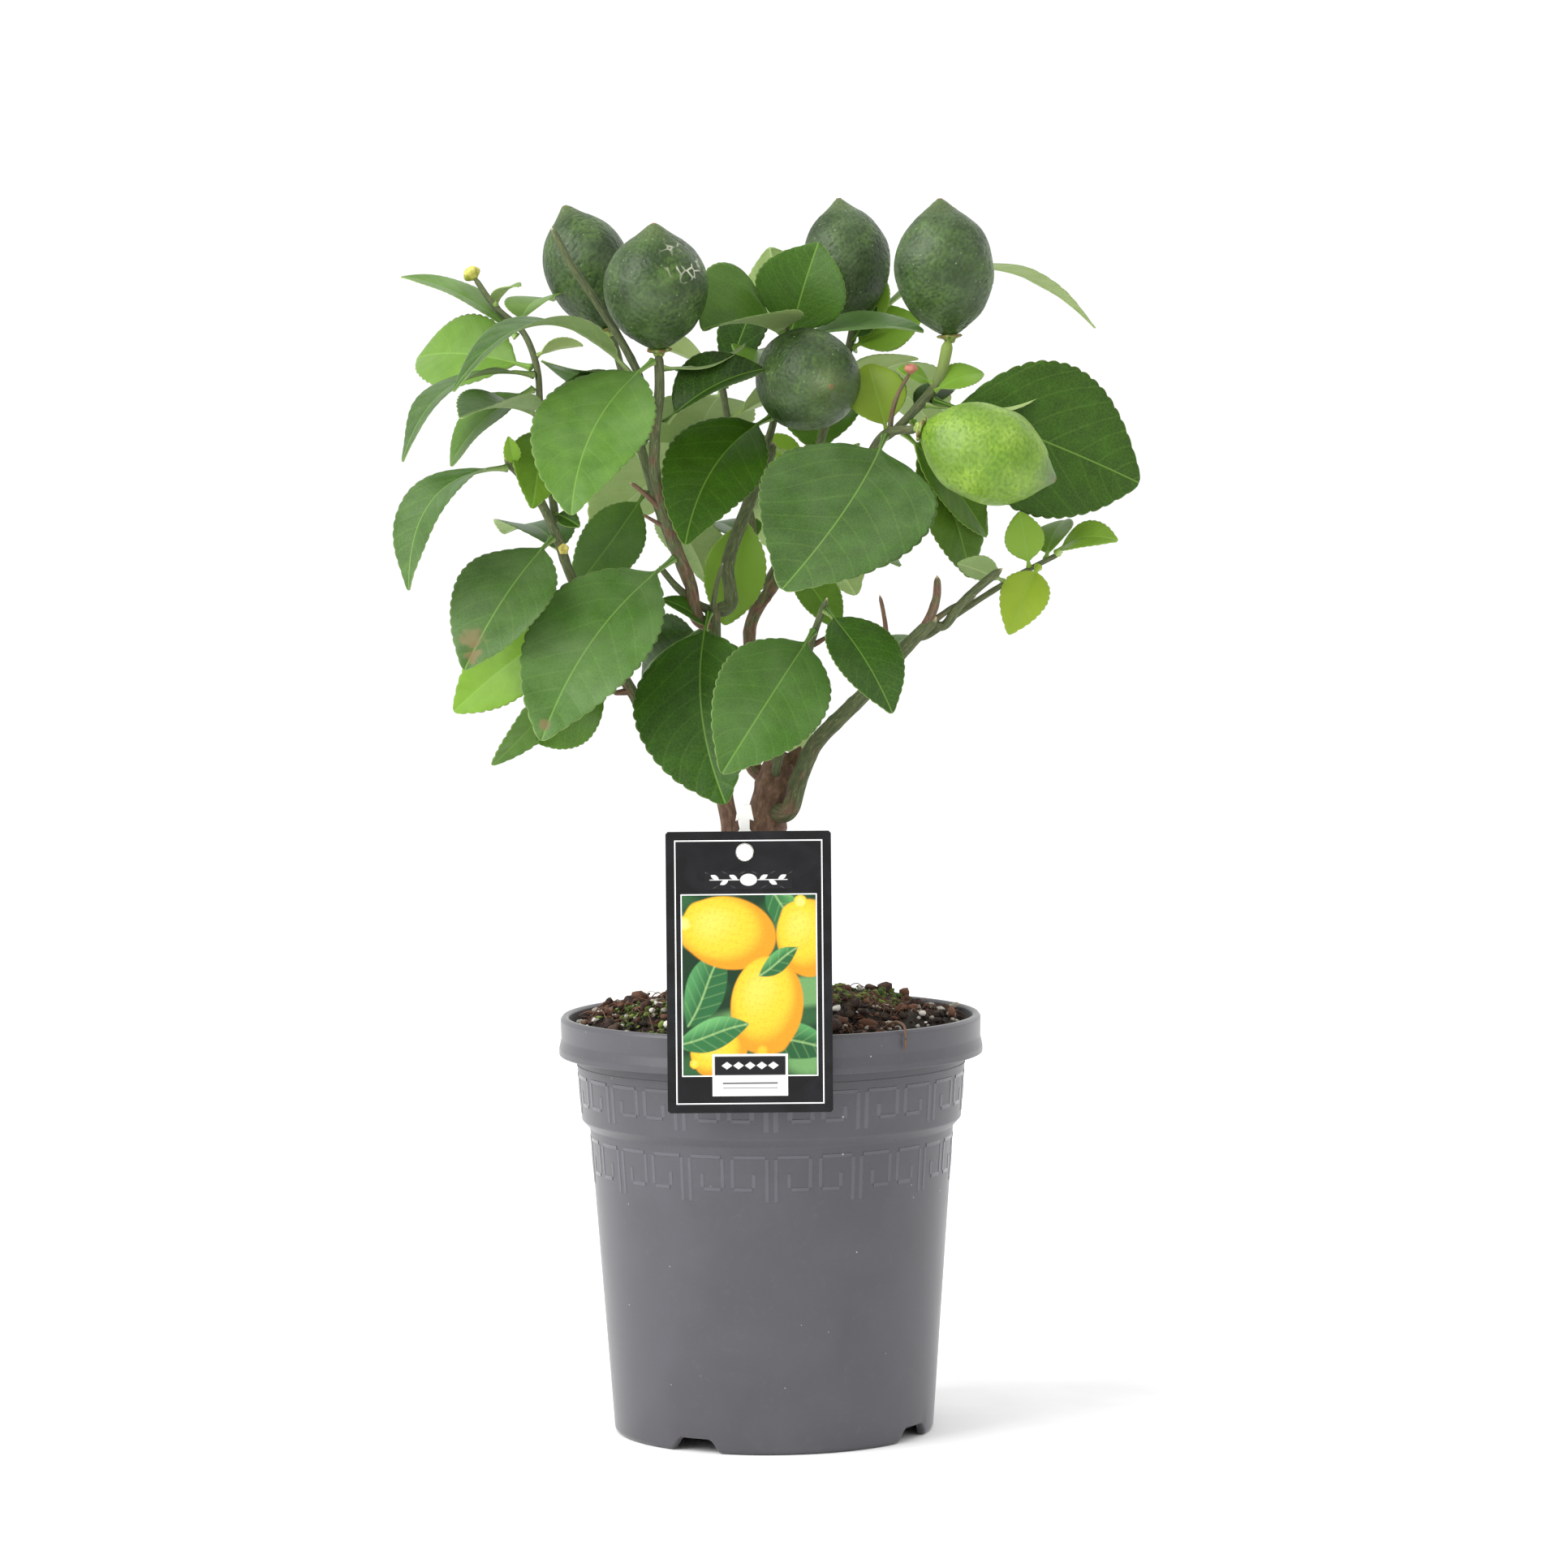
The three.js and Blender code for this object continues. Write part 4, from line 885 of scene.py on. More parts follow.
# %% Rounded corners
def rounded(corners, step, spread):
    """The outline walked in small steps and smoothed over spread mm, with long straight runs thinned."""
    corners = np.array(corners)
    keys = lengths_along(corners)
    at = np.arange(0, keys[-1], step)
    walk = np.stack([np.interp(at, keys, corners[:, i]) for i in (0, 1)], -1)
    reach = max(1, round(spread / step))
    padded = np.pad(walk, ((reach, reach), (0, 0)), mode="edge")
    sums = np.cumsum(np.vstack([np.zeros(2), padded]), axis=0)
    smooth = (sums[2 * reach + 1:] - sums[:-2 * reach - 1]) / (2 * reach + 1)
    near = np.abs(at[:, None] - keys).min(1) < 1.1
    return smooth[near | (np.arange(len(at)) % round(7 / step) == 0)]


profile = rounded(outline, 0.25, 0.3)
turn = full_turn(256)
ring = np.stack([np.cos(turn), np.sin(turn), 0 * turn], -1)
skin = ring * profile[:, 0][:, None, None] + np.array([0, 0, 1]) * profile[:, 1][:, None, None]

# %% Foot notches: the lowest 6 mm of the foot ring is squeezed up over each notch
squeeze_top = 6.0
notch_half_bottom, notch_half_top = 9.1, 6.0
quarter = math.pi / 2
cut_marks = pot_points[shell & (np.abs(pot_points[:, 2] - notch_height) < 0.01)]
first_notch = np.angle(np.exp(4j * np.arctan2(cut_marks[:, 1], cut_marks[:, 0])).mean()) / 4
off_notch = (turn - first_notch + quarter / 2) % quarter - quarter / 2
arc = np.abs(off_notch) * foot_inner
lifted = notch_height * np.clip((notch_half_bottom - arc) / (notch_half_bottom - notch_half_top), 0, 1)
z = skin[..., 2]
outside = (skin[..., 0] ** 2 + skin[..., 1] ** 2 > (foot_inner - 0.5) ** 2) & (z < squeeze_top)
squeezed = lifted + z * (squeeze_top - lifted) / squeeze_top
skin[..., 2] = np.where(outside & (z < foot_height - 0.2), squeezed, z)
points, faces = closed_loft([0, 0, foot_height], skin, [0, 0, inner_heights[-1]])
pot = make_piece("nursery_pot", points, faces, [moulded_polypropylene], "pot_plastic", ["pot"])
print("first notch at", round(math.degrees(first_notch)), "degrees,", len(points), "points")

# %% Drain holes, cut through the floor
hole_count = 6
in_floor = ~shell & (pot_radius > 20)
hole_marks = pot_points[in_floor & (np.abs(pot_points[:, 2] - foot_height) < 0.01)]
mark_turns = np.arctan2(hole_marks[:, 1], hole_marks[:, 0])
hole_turn = np.angle(np.exp(hole_count * 1j * mark_turns).mean()) / hole_count
hole_circle = (pot_radius[in_floor].max() + pot_radius[in_floor].min()) / 2
hole_radius = pot_radius[in_floor].max() - hole_circle
upright = np.array([0, 0, 1.0])
bodies = []
for index in range(hole_count):
    angle = hole_turn + index * 2 * math.pi / hole_count
    middle = np.array([math.cos(angle) * hole_circle, math.sin(angle) * hole_circle, 0])
    through = [(0, 2), (hole_radius, 2), (hole_radius, 9), (0, 9)]
    bodies.append(turned_surface(through, middle, upright, 32)[:2])
cutter = make_object("drain_cutter", *joined(bodies), [], smooth=False)
drain = pot.modifiers.new("drain_holes", "BOOLEAN")
drain.operation, drain.object, drain.solver = "DIFFERENCE", cutter, "EXACT"
shaped = bpy.data.meshes.new_from_object(pot.evaluated_get(bpy.context.evaluated_depsgraph_get()))
pot.modifiers.clear()
pot.data = shaped
bpy.data.objects.remove(cutter)
print("holes of", round(2 * hole_radius, 1), "mm on a circle of", round(2 * hole_circle), "mm")

# %% [markdown]
# ## The meander bands
#
# A meander is one line that turns inwards on itself and goes on to the next. Each unit here is a few
# straight strips on a small square grid. A strip is swept with a raised, bevelled section in steps
# short enough to follow the cone, and all strips of a band are worked out together.


# %% Strips on the cone
def wall_at(height):
    """Radius of the frame's outer wall at a height, below the collar."""
    heights = np.array(outer_heights[2:])
    return np.interp(height, heights, [cad_radius(z, np.max) for z in heights])


def band_strips(strips, low, high, units, columns, rows, line_width, relief):
    """Points and faces of raised strips. strips holds (column, row, column, row) in grid cells. A strip
    is cut into 4 steps, and its section is a flat top between two sloping flanks."""
    cell = (high - low) / rows
    pitch = 2 * math.pi / units
    ends = np.array(strips, float)
    ahead = unit(ends[:, 2:] - ends[:, :2])
    grow = line_width / cell / 2
    start, stop = ends[:, :2] - ahead * grow, ends[:, 2:] + ahead * grow
    line = start[:, None] + (stop - start)[:, None] * np.linspace(0, 1, 5)[:, None]
    across = np.stack([-ahead[:, 1], ahead[:, 0]], -1)[:, None, None]
    section = np.array([[-1.25, -0.15], [-0.8, relief], [0.8, relief], [1.25, -0.15]])
    flat = line[:, :, None] + across * (section[:, 0] * grow)[:, None]
    angle = (np.arange(units)[:, None, None, None] + flat[..., 0] / columns) * pitch
    height = np.broadcast_to(low + flat[..., 1] * cell, angle.shape)
    radius = wall_at(height) + section[:, 1]
    points = np.stack([radius * np.sin(angle), -radius * np.cos(angle), height], -1).reshape(-1, 3)
    quads = [[a, b, b + 4, a + 4] for step in (0, 4, 8, 12) for a, b in
             ((step, step + 1), (step + 1, step + 2), (step + 2, step + 3), (step + 3, step))]
    quads += [[3, 2, 1, 0], [16, 17, 18, 19]]
    return points, repeated(quads, units * len(strips), 20)


# Two mirrored units of the meander on a grid of 12 columns and 6 rows: each is a square hook.
hook = [(0.6, 0.0, 0.6, 5.2), (1.1, 5.7, 4.8, 5.7), (5.3, 5.2, 5.3, 1.9), (4.8, 1.4, 2.9, 1.4),
        (2.4, 1.9, 2.4, 3.2)]
meander = hook + [(12 - a, b, 12 - c, d) for a, b, c, d in hook]
collar_line = [(0, 0, 4, 0), (4, 0, 8, 0)]
# Each band: lowest and highest level, units round the pot, columns and rows of a unit, line, relief.
bands = [("meander_band_upper", polished_sheen_polypropylene, (meander, 115.5, 129.0, 13, 12, 6, 1.4, 0.17)),
         ("meander_band_lower", polished_sheen_polypropylene, (meander, 90.5, 106.5, 13, 12, 6, 1.4, 0.17)),
         ("collar_line", moulded_polypropylene, (collar_line, 131.6, 132.6, 26, 8, 1, 0.5, 0.22))]
for name, plastic, band in bands:
    make_piece(name, *band_strips(*band), [plastic], "pot_plastic", smooth=False)
print("bands made")

# %% [markdown]
# ## Potting soil
#
# Nursery soil is coarse peat with bark chips, white perlite and a little moss. Its look is mostly
# loose crumbs of very different sizes, so the heap itself is only a rough base, and thousands of small
# low-poly crumbs, chips and fibres are scattered over it. Each kind is one mesh made from one small
# shape, turned, stretched and dented differently for every copy, in one array operation.

# %% Soil finishes
peat, tree, place = new_material("peat_dug")
lumps = add(tree, "TexNoise", {"Vector": place, "Scale": per_mm(2.2), "Detail": 8, "Roughness": 0.7})
tint = add(tree, "ValToRGB", {"Fac": lumps}, stops=((0.34, "#0f0a07"), (0.68, "#3a2a1d"), (0.5, "#1f150f")))
tone = add(tree, "Attribute", attribute_name="tone").outputs["Fac"]
varied = add(tree, "Mix", {0: tone, 6: tint, 7: "#4e3a29"}, data_type="RGBA")
finish(peat, varied, lumps, 0.9, 0.6, {"Roughness": 0.92})


def crumb_finish(name, dark, light, grain, roughness):
    """A matt broken surface with grains of a size in mm; `tone` picks each crumb's own shade."""
    material, tree, place = new_material(name)
    noise = add(tree, "TexNoise", {"Vector": place, "Scale": per_mm(grain), "Detail": 5})
    tone = add(tree, "Attribute", attribute_name="tone").outputs["Fac"]
    both = add(tree, "Math", {0: noise, 1: tone}, operation="ADD")
    tint = add(tree, "ValToRGB", {"Fac": both}, stops=((0.45, dark), (1.0, light)))
    return finish(material, tint, noise, 0.7, 0.3, {"Roughness": roughness})


perlite = crumb_finish("perlite_expanded", "#8f877c", "#dcd7cd", 0.8, 0.9)
pine_bark = crumb_finish("pine_bark_chipped", "#22150e", "#6b4734", 1.5, 0.85)
moss = crumb_finish("moss_grown", "#33440f", "#76893a", 1.0, 0.9)
print("soil finishes made")

# %% The heap
soil_points, _ = cad_mesh("soil")
soil_top, soil_bottom = soil_points[:, 2].max(), soil_points[:, 2].min()
soil_edge = np.hypot(*soil_points[soil_points[:, 2] > soil_top - 9, :2].T).max()
edge_level = soil_top - 6.0
heap_rise = 10.0


def heap_height(x, y):
    """Level of the soil: a mound, (1 - (r / R)^2.6) of its rise, with bumps 2 to 14 mm across."""
    flat = np.stack([x, y, 0 * x], -1)
    bumps = waves(flat, 14, 301) * 1.6 + waves(flat, 5, 302) * 0.9 + waves(flat, 2.2, 303) * 0.5
    return edge_level + heap_rise * (1 - (np.hypot(x, y) / soil_edge) ** 2.6) + bumps


turn = full_turn(200)
reach = np.linspace(soil_edge, 1.0, 110)
x, y = reach[:, None] * np.cos(turn), reach[:, None] * np.sin(turn)
top = np.stack([x, y, heap_height(x, y)], -1)
wall = np.array([(1.0, soil_bottom), (wall_at(soil_bottom) - 5, soil_bottom), (wall_at(20.0) - 2.4, 20.0),
                 (wall_at(105.0) - 2.4, 105.0), (wall_at(132.0) - 2.6, 132.0), (soil_edge, 139.0)])[:, None]
wall = np.stack([wall[..., 0] * np.cos(turn), wall[..., 0] * np.sin(turn), wall[..., 1] + 0 * turn], -1)
peak = [0, 0, heap_height(np.zeros(1), np.zeros(1))[0]]
points, faces = closed_loft([0, 0, soil_bottom], np.concatenate([wall, top]), peak)
make_piece("soil_heap", points, faces, [peat], "potting_soil", ["soil"],
           attributes={"tone": fade(0.3, 1.2, waves(points, 6, 305)) * 0.4})
print("heap top", round(float(top[..., 2].max()), 1), "mm")


# %% Scattered crumbs
def on_heap(rng, count, share):
    """Random places on the heap, evenly spread up to a share of its radius."""
    r = soil_edge * np.sqrt(rng.uniform(0, 1, count)) * share
    angle = rng.uniform(0, 2 * math.pi, count)
    return np.stack([r * np.cos(angle), r * np.sin(angle)], -1)


def turned_at_random(rng, count):
    """Random rotation matrices, from the quaternions (w, i, j, k) of random directions in four axes."""
    w, i, j, k = unit(rng.normal(size=(count, 4))).T
    return np.stack([1 - 2 * (j * j + k * k), 2 * (i * j - k * w), 2 * (i * k + j * w),
                     2 * (i * j + k * w), 1 - 2 * (i * i + k * k), 2 * (j * k - i * w),
                     2 * (i * k - j * w), 2 * (j * k + i * w), 1 - 2 * (i * i + j * j)], -1).reshape(-1, 3, 3)


def scatter(name, material, shape, faces, rng, where, size, stretch, sink, lift):
    """Copies of a small shape on the heap. Each has a random size, turn and stretch, is dented at every
    point by up to a fifth, sinks by a share of its size and then rises by so many mm."""
    count = len(where)
    level = heap_height(where[:, 0], where[:, 1])
    big = size[0] * (size[1] / size[0]) ** rng.uniform(0, 1, count) ** 2.2
    turned = turned_at_random(rng, count)
    body = shape[None] * (1 + rng.uniform(-0.2, 0.2, (count, len(shape), 1)))
    body = body * rng.uniform(stretch[0], stretch[1], (count, 1, 3)) * big[:, None, None]
    body = np.einsum("nij,nvj->nvi", turned, body)
    body[..., 2] *= 0.8
    body[..., :2] += where[:, None]
    body[..., 2] += (level + big * (0.5 - sink) + lift)[:, None]
    out = np.hypot(body[..., 0], body[..., 1])
    body[..., :2] *= np.minimum(1, (soil_edge + 0.3) / np.maximum(out, 1e-6))[..., None]
    tone = np.repeat(rng.uniform(0, 1, count) ** 2 * 0.6, len(shape))
    make_piece(name, body.reshape(-1, 3), repeated(faces, count, len(shape)), [material], "potting_soil",
               attributes={"tone": tone})


def small_ball(sides, rings):
    """A coarse closed ball of unit diameter: rings of points between two poles."""
    slope = np.linspace(0, math.pi, rings + 2)[1:-1, None]
    turn = full_turn(sides)
    x, y = np.sin(slope) * np.cos(turn), np.sin(slope) * np.sin(turn)
    skin = np.stack([x, y, -np.cos(slope) + 0 * turn], -1)
    points, faces = closed_loft([0, 0, -1.0], skin, [0, 0, 1.0])
    return points * 0.5, in_triangles(faces)


ball, ball_faces = small_ball(6, 3)
# Each row: name, material, count, seed, then the smallest and largest size, the stretch, sink and lift.
crumbs = [("peat_crumbs", peat, 3600, 311, (0.7, 3.6), (0.4, 1.3), 0.1, 0.0),
          ("bark_chips", pine_bark, 420, 312, (2.2, 6.5), (0.2, 1.3), 0.05, 0.5),
          ("perlite_grains", perlite, 330, 313, (1.3, 3.6), (0.7, 1.2), 0.0, 0.6)]
for name, material, count, seed, *sizes in crumbs:
    rng = np.random.default_rng(seed)
    scatter(name, material, ball, ball_faces, rng, on_heap(rng, count, 0.985), *sizes)
# Moss grows in patches, each a cloud of tufts about 6 mm wide.
patch_count, tufts_each, patch_spread = 22, 60, 6
rng = np.random.default_rng(314)
patches = rng.uniform(-1, 1, (patch_count, 2)) * soil_edge * 0.75
tufts = (patches[:, None] + rng.normal(scale=patch_spread, size=(patch_count, tufts_each, 2))).reshape(-1, 2)
tufts = tufts[np.hypot(tufts[:, 0], tufts[:, 1]) < soil_edge * 0.97]
rng = np.random.default_rng(315)
scatter("moss_tufts", moss, ball, ball_faces, rng, tufts, (0.9, 3.0), (0.3, 1.5), 0.0, 0.7)
print("crumbs scattered")


# %% Fibres: thin bent roots and peat threads
def fibres(name, count, longest, seed):
    """Three-sided threads. Each follows start + way * t + bend * t^2 over the heap's surface."""
    rng = np.random.default_rng(seed)
    r = soil_edge * np.sqrt(rng.uniform(0, 1, count)) * 0.93
    place, compass = rng.uniform(0, 2 * math.pi, (2, count))
    length = rng.uniform(5, longest, count)[:, None, None]
    start = np.stack([r * np.cos(place), r * np.sin(place)], -1)
    t = np.linspace(0, 1, 7)
    way = np.stack([np.cos(compass), np.sin(compass)], -1)
    aside = np.stack([-way[:, 1], way[:, 0]], -1)
    bend = aside * rng.uniform(-0.5, 0.5, (count, 1))
    flat = start[:, None] + (way[:, None] * t[:, None] + bend[:, None] * (t ** 2)[:, None]) * length
    flat = flat * np.minimum(1, (soil_edge - 1) / np.linalg.norm(flat, axis=-1, keepdims=True))
    hump = rng.uniform(0.3, 2.6, (count, 1)) * np.sin(math.pi * t) + 1.0
    line = np.concatenate([flat, (heap_height(flat[..., 0], flat[..., 1]) + hump)[..., None]], -1)
    thick = rng.uniform(0.12, 0.32, (count, 1, 1, 1))
    corner = np.array([[0, 1.0], [0.87, -0.5], [-0.87, -0.5]])
    side = np.concatenate([aside, np.zeros((count, 1))], -1)
    section = corner[:, :1] * side[:, None] + corner[:, 1:] * np.array([0, 0, 1.0])
    skin = line[:, :, None] + section[:, None] * thick
    body = np.concatenate([line[:, :1], skin.reshape(count, -1, 3), line[:, -1:]], axis=1)
    faces = in_triangles(closed_loft(line[0, 0], skin[0], line[0, -1])[1])
    tone = np.repeat(rng.uniform(0.2, 0.9, count), body.shape[1])
    make_piece(name, body.reshape(-1, 3), repeated(faces, count, body.shape[1]), [pine_bark], "potting_soil",
               attributes={"tone": tone})


fibres("peat_fibres", 420, 16, 321)
print("fibres laid")

# %% [markdown]
# ## Label and stake
#
# The label is a sheet of black polypropylene, printed and laminated, so it is smooth and glossy. It
# hangs on the stud of a white push-in stake. Both shapes are right in the frame, so they are copied,
# freed of their triangles and given small bevels, because every moulded or punched edge is a little
# round and catches the light. The print is thin panels whose colour is worked out point by point.

# %% Printed polypropylene, laminated: glossy, with faint handling marks
laminate = {"Specular IOR Level": 0.25, "Coat Weight": 0.06, "Coat Roughness": 0.12}
laminated_card, tree, place = new_material("polypropylene_card_laminated")
smears = add(tree, "TexNoise", {"Vector": place, "Scale": per_mm(13), "Detail": 6, "Distortion": 1.2})
tint = add(tree, "ValToRGB", {"Fac": smears}, stops=((0.45, "#0b0b0d"), (0.8, "#1a1b1f")))
gloss = add(tree, "MapRange", {"Value": smears, 1: 0.4, 2: 0.7, 3: 0.2, 4: 0.34})
finish(laminated_card, tint, smears, 0.25, 0.2, {"Roughness": gloss, **laminate})

# %% Printing ink under laminate: the colour is an attribute, with a halftone grain of 0.5 mm
printed_ink, tree, place = new_material("offset_ink_laminated")
ink = add(tree, "Attribute", attribute_name="ink").outputs["Color"]
halftone = add(tree, "TexNoise", {"Vector": place, "Scale": per_mm(0.5), "Detail": 2})
even = add(tree, "MapRange", {"Value": halftone, 1: 0.3, 2: 0.7, 3: 0.93, 4: 1.05})
shown = add(tree, "Mix", {0: 1.0, 6: ink, 7: even}, data_type="RGBA", blend_type="MULTIPLY")
finish(printed_ink, shown, halftone, 0.1, 0.02, {"Roughness": 0.3, **laminate})

# %% Moulded white polystyrene: slightly translucent, satin, with soft sink marks
moulded_polystyrene, tree, place = new_material("white_polystyrene_moulded")
sinks = add(tree, "TexNoise", {"Vector": place, "Scale": per_mm(6), "Detail": 3})
tint = add(tree, "ValToRGB", {"Fac": sinks}, stops=((0.3, "#e4e4de"), (0.7, "#f2f2ee")))
finish(moulded_polystyrene, tint, sinks, 0.3, 0.3,
       {"Roughness": 0.38, "Subsurface Weight": 0.08, "Subsurface Scale": 1.5 * MM})
print("label finishes made")


# %% Copies with bevelled edges
def bevelled_copy(node, name, material, slot, bevel):
    """A copy of a CAD node: merged, its flat faces made whole, and its sharp edges bevelled."""
    points, triangles = cad_mesh(node)
    piece = make_piece(name, points, triangles.tolist(), [material], slot, [node], smooth=False)
    shape = bmesh.new()
    shape.from_mesh(piece.data)
    bmesh.ops.dissolve_limit(shape, angle_limit=math.radians(1), verts=shape.verts, edges=shape.edges)
    shape.to_mesh(piece.data)
    shape.free()
    modifier = piece.modifiers.new("bevel", "BEVEL")
    modifier.width = bevel * MM
    modifier.segments = 2
    modifier.limit_method = "ANGLE"


bevelled_copy("label_stake", "stake_moulding", moulded_polystyrene, "stake_plastic", 0.3)
bevelled_copy("label", "label_sheet", laminated_card, "label_card", 0.12)

# %% The card's own axes
card, _ = cad_mesh("label")
order = card[:, 2].argsort()
card_bottom, card_top = card[order[:4]].mean(0), card[order[-4:]].mean(0)
card_up = unit(card_top - card_bottom)
card_right = np.array([1.0, 0, 0])
card_out = np.cross(card_right, card_up)
card_front = (card @ card_out).max() - card_bottom @ card_out
card_height = np.linalg.norm(card_top - card_bottom)
card_half = np.ptp(card[:, 0]) / 2
print("card", round(2 * card_half, 1), "x", round(float(card_height), 1), "mm")


def on_card(x, y, lift):
    """A place on the card's face: x from its middle, y from its bottom edge, lift off the surface."""
    face = card_bottom + card_out * card_front
    return face + card_right * x[..., None] + card_up * y[..., None] + card_out * lift[..., None]


# %% Printed pictures as formulas
black_ink, white_ink, grey_ink = "#141417", "#f4f4f2", "#5a5a5e"


def plain(x, color):
    """One colour all over, in linear light."""
    return np.zeros(x.shape + (3,)) + srgb(color)[:3]


def paint(under, mask, color):
    """Lays a colour over another by a mask from 0 to 1."""
    return under * (1 - mask[..., None]) + np.array(srgb(color)[:3]) * mask[..., None]


def turned_by(x, y, cx, cy, degrees):
    """Coordinates about a centre, turned."""
    a = math.radians(degrees)
    return (x - cx) * math.cos(a) + (y - cy) * math.sin(a), (y - cy) * math.cos(a) - (x - cx) * math.sin(a)


def drawn_leaf(ink, x, y, cx, cy, degrees, length, width, dark, light):
    """A pointed leaf: |v| < half width * (1 - (2u / length)^2), with one half lit and a pale midrib."""
    u, v = turned_by(x, y, cx, cy, degrees)
    v = v - 0.06 * width * np.sin(u / length * 5)
    shape = width / 2 * np.clip(1 - (2 * u / length) ** 2, 0, 1) - np.abs(v)
    ink = paint(ink, fade(-0.15, 0.25, shape), dark)
    ink = paint(ink, fade(-0.15, 0.25, shape) * fade(-0.5, width / 2, v), light)
    veins = fade(0.85, 1.0, np.cos(u * 1.6 - np.abs(v) * 1.4)) * 0.25 + fade(0.55, 0.1, np.abs(v)) * 0.7
    return paint(ink, np.clip(veins, 0, 1) * fade(0, 0.4, shape), "#9cc07c")


def drawn_lemon(ink, x, y, cx, cy, degrees, length, width):
    """A ripe lemon: an ellipse with a nipple, lit from the upper left, with a dotted rind."""
    u, v = turned_by(x, y, cx, cy, degrees)
    nose = np.exp(-((u - length / 2) / (0.09 * length)) ** 2) * 0.16 * width
    r = np.hypot(2 * u / length, 2 * v / (width + 2 * nose * (u > 0)))
    r = np.minimum(r, np.hypot((u - length * 0.47) / (0.09 * length), v / (0.11 * width)))
    mask = fade(1.02, 0.97, r)
    lit = np.clip(0.5 + ((cx - x) + (y - cy)) / (length + width) * 0.9 - 0.55 * np.clip(r, 0, 1) ** 3, 0, 1)
    dots = fade(0.35, 0.8, waves(np.stack([x, y, 0 * x], -1), 0.55, 9, 20)) * 0.2
    for share, color in ((1, "#dd9420"), (fade(0.0, 0.42, lit), "#f7c433"), (fade(0.4, 0.95, lit), "#ffe986"),
                         (dots, "#c98312")):
        ink = paint(ink, mask * share, color)
    return ink


# The picture from the back to the front: centre, turn, length and width in mm and degrees, leaf colours.
orchard = [(drawn_leaf, 36, 56, -62, 26, 11, "#2f6b3c", "#5c9c58"),
           (drawn_leaf, 8, 30, 62, 30, 14, "#2b6337", "#4f8f56"),
           (drawn_lemon, 43, 47, 100, 27, 21), (drawn_lemon, 12.5, 8, 205, 20, 16),
           (drawn_leaf, 37, 12, -18, 32, 13, "#24562f", "#56995a"), (drawn_lemon, 16, 49, 168, 33, 25),
           (drawn_lemon, 29, 24, -96, 34, 25), (drawn_leaf, 10, 14, 14, 27, 11, "#2f6b3c", "#69ab68"),
           (drawn_leaf, 33, 39, 34, 17, 7, "#2b6337", "#5fa35f")]


def orchard_picture(x, y):
    """The label's picture: ripe lemons among leaves, in mm from its lower left corner."""
    flat = np.stack([x, y, 0 * x], -1)
    ink = paint(plain(x, "#14331c"), fade(-0.4, 0.9, waves(flat, 7, 401)), "#2e5a33")
    ink = paint(ink, fade(0.1, 1.2, waves(flat, 11, 402)), "#6b9a5e")
    for draw, *values in orchard:
        ink = draw(ink, x, y, *values)
    return ink


def sprig_ornament(x, y):
    """White on black: a small solid lemon between two sprigs of three leaves, 30 x 6 mm."""
    across, rise = np.abs(x - 15), y - 3
    fruit = fade(1.12, 1.0, np.hypot(across / 2.7, rise / 1.9))
    stem = fade(0.22, 0.08, np.abs(rise)) * fade(3.0, 3.3, across) * fade(13.6, 13.2, across)
    white = np.maximum(fruit, stem)
    for place, tilt in ((5.2, 28), (8.4, -28), (11.6, 28)):
        u, v = turned_by(across, rise, place, math.copysign(0.9, tilt), tilt)
        leaf_shape = 0.75 * np.clip(1 - (u / 1.6) ** 2, 0, 1) - np.abs(v)
        white = np.maximum(white, fade(-0.05, 0.12, leaf_shape))
    return paint(plain(x, black_ink), white, white_ink)


def badge_ornament(x, y):
    """A badge 26 x 14.5 mm: a white frame, five white lozenges on black above, two grey rules below."""
    upper = fade(7.0, 7.3, y) * fade(13.9, 13.6, y) * fade(0.6, 0.9, x) * fade(25.4, 25.1, x)
    ink = paint(plain(x, white_ink), upper, black_ink)
    spot = np.abs((x - 13 + 2) % 4 - 2) * 0.7 + np.abs(y - 10.5)
    ink = paint(ink, fade(1.35, 1.15, spot) * (np.abs(x - 13) < 10), white_ink)
    rules = np.maximum(fade(0.4, 0.25, np.abs(y - 4.4)), fade(0.25, 0.12, np.abs(y - 2.8)))
    return paint(ink, rules * (np.abs(x - 13) < 9.5), grey_ink)


# %% Panels and lines on the card
def print_piece(name, points, faces, ink):
    """A piece of print, of flat faces in the colours given for its points."""
    make_piece(name, points.reshape(-1, 3), faces, [printed_ink], "label_card", attributes={"ink": ink},
               smooth=False)


def printed_panel(name, x0, y0, width, height, step, picture, lift_off=0.01):
    """A thin closed panel: a grid 0.05 mm above its own edge, which is lift_off mm above the card."""
    nx, ny = int(width / step) + 1, int(height / step) + 1
    x, y = np.meshgrid(np.linspace(0, width, nx), np.linspace(0, height, ny))
    lift = np.full(x.shape, lift_off + 0.05)
    lift[[0, -1]] = lift[:, [0, -1]] = lift_off
    index = np.arange(nx * ny).reshape(ny, nx)
    quads = np.stack([index[:-1, :-1], index[:-1, 1:], index[1:, 1:], index[1:, :-1]], -1).reshape(-1, 4)
    rim = np.concatenate([index[0], index[1:, -1], index[-1, -2::-1], index[-2:0:-1, 0]])[::-1]
    faces = quads.tolist() + [rim.tolist()]
    print_piece(name, on_card(x + x0, y + y0, lift), faces, picture(x, y).reshape(-1, 3))


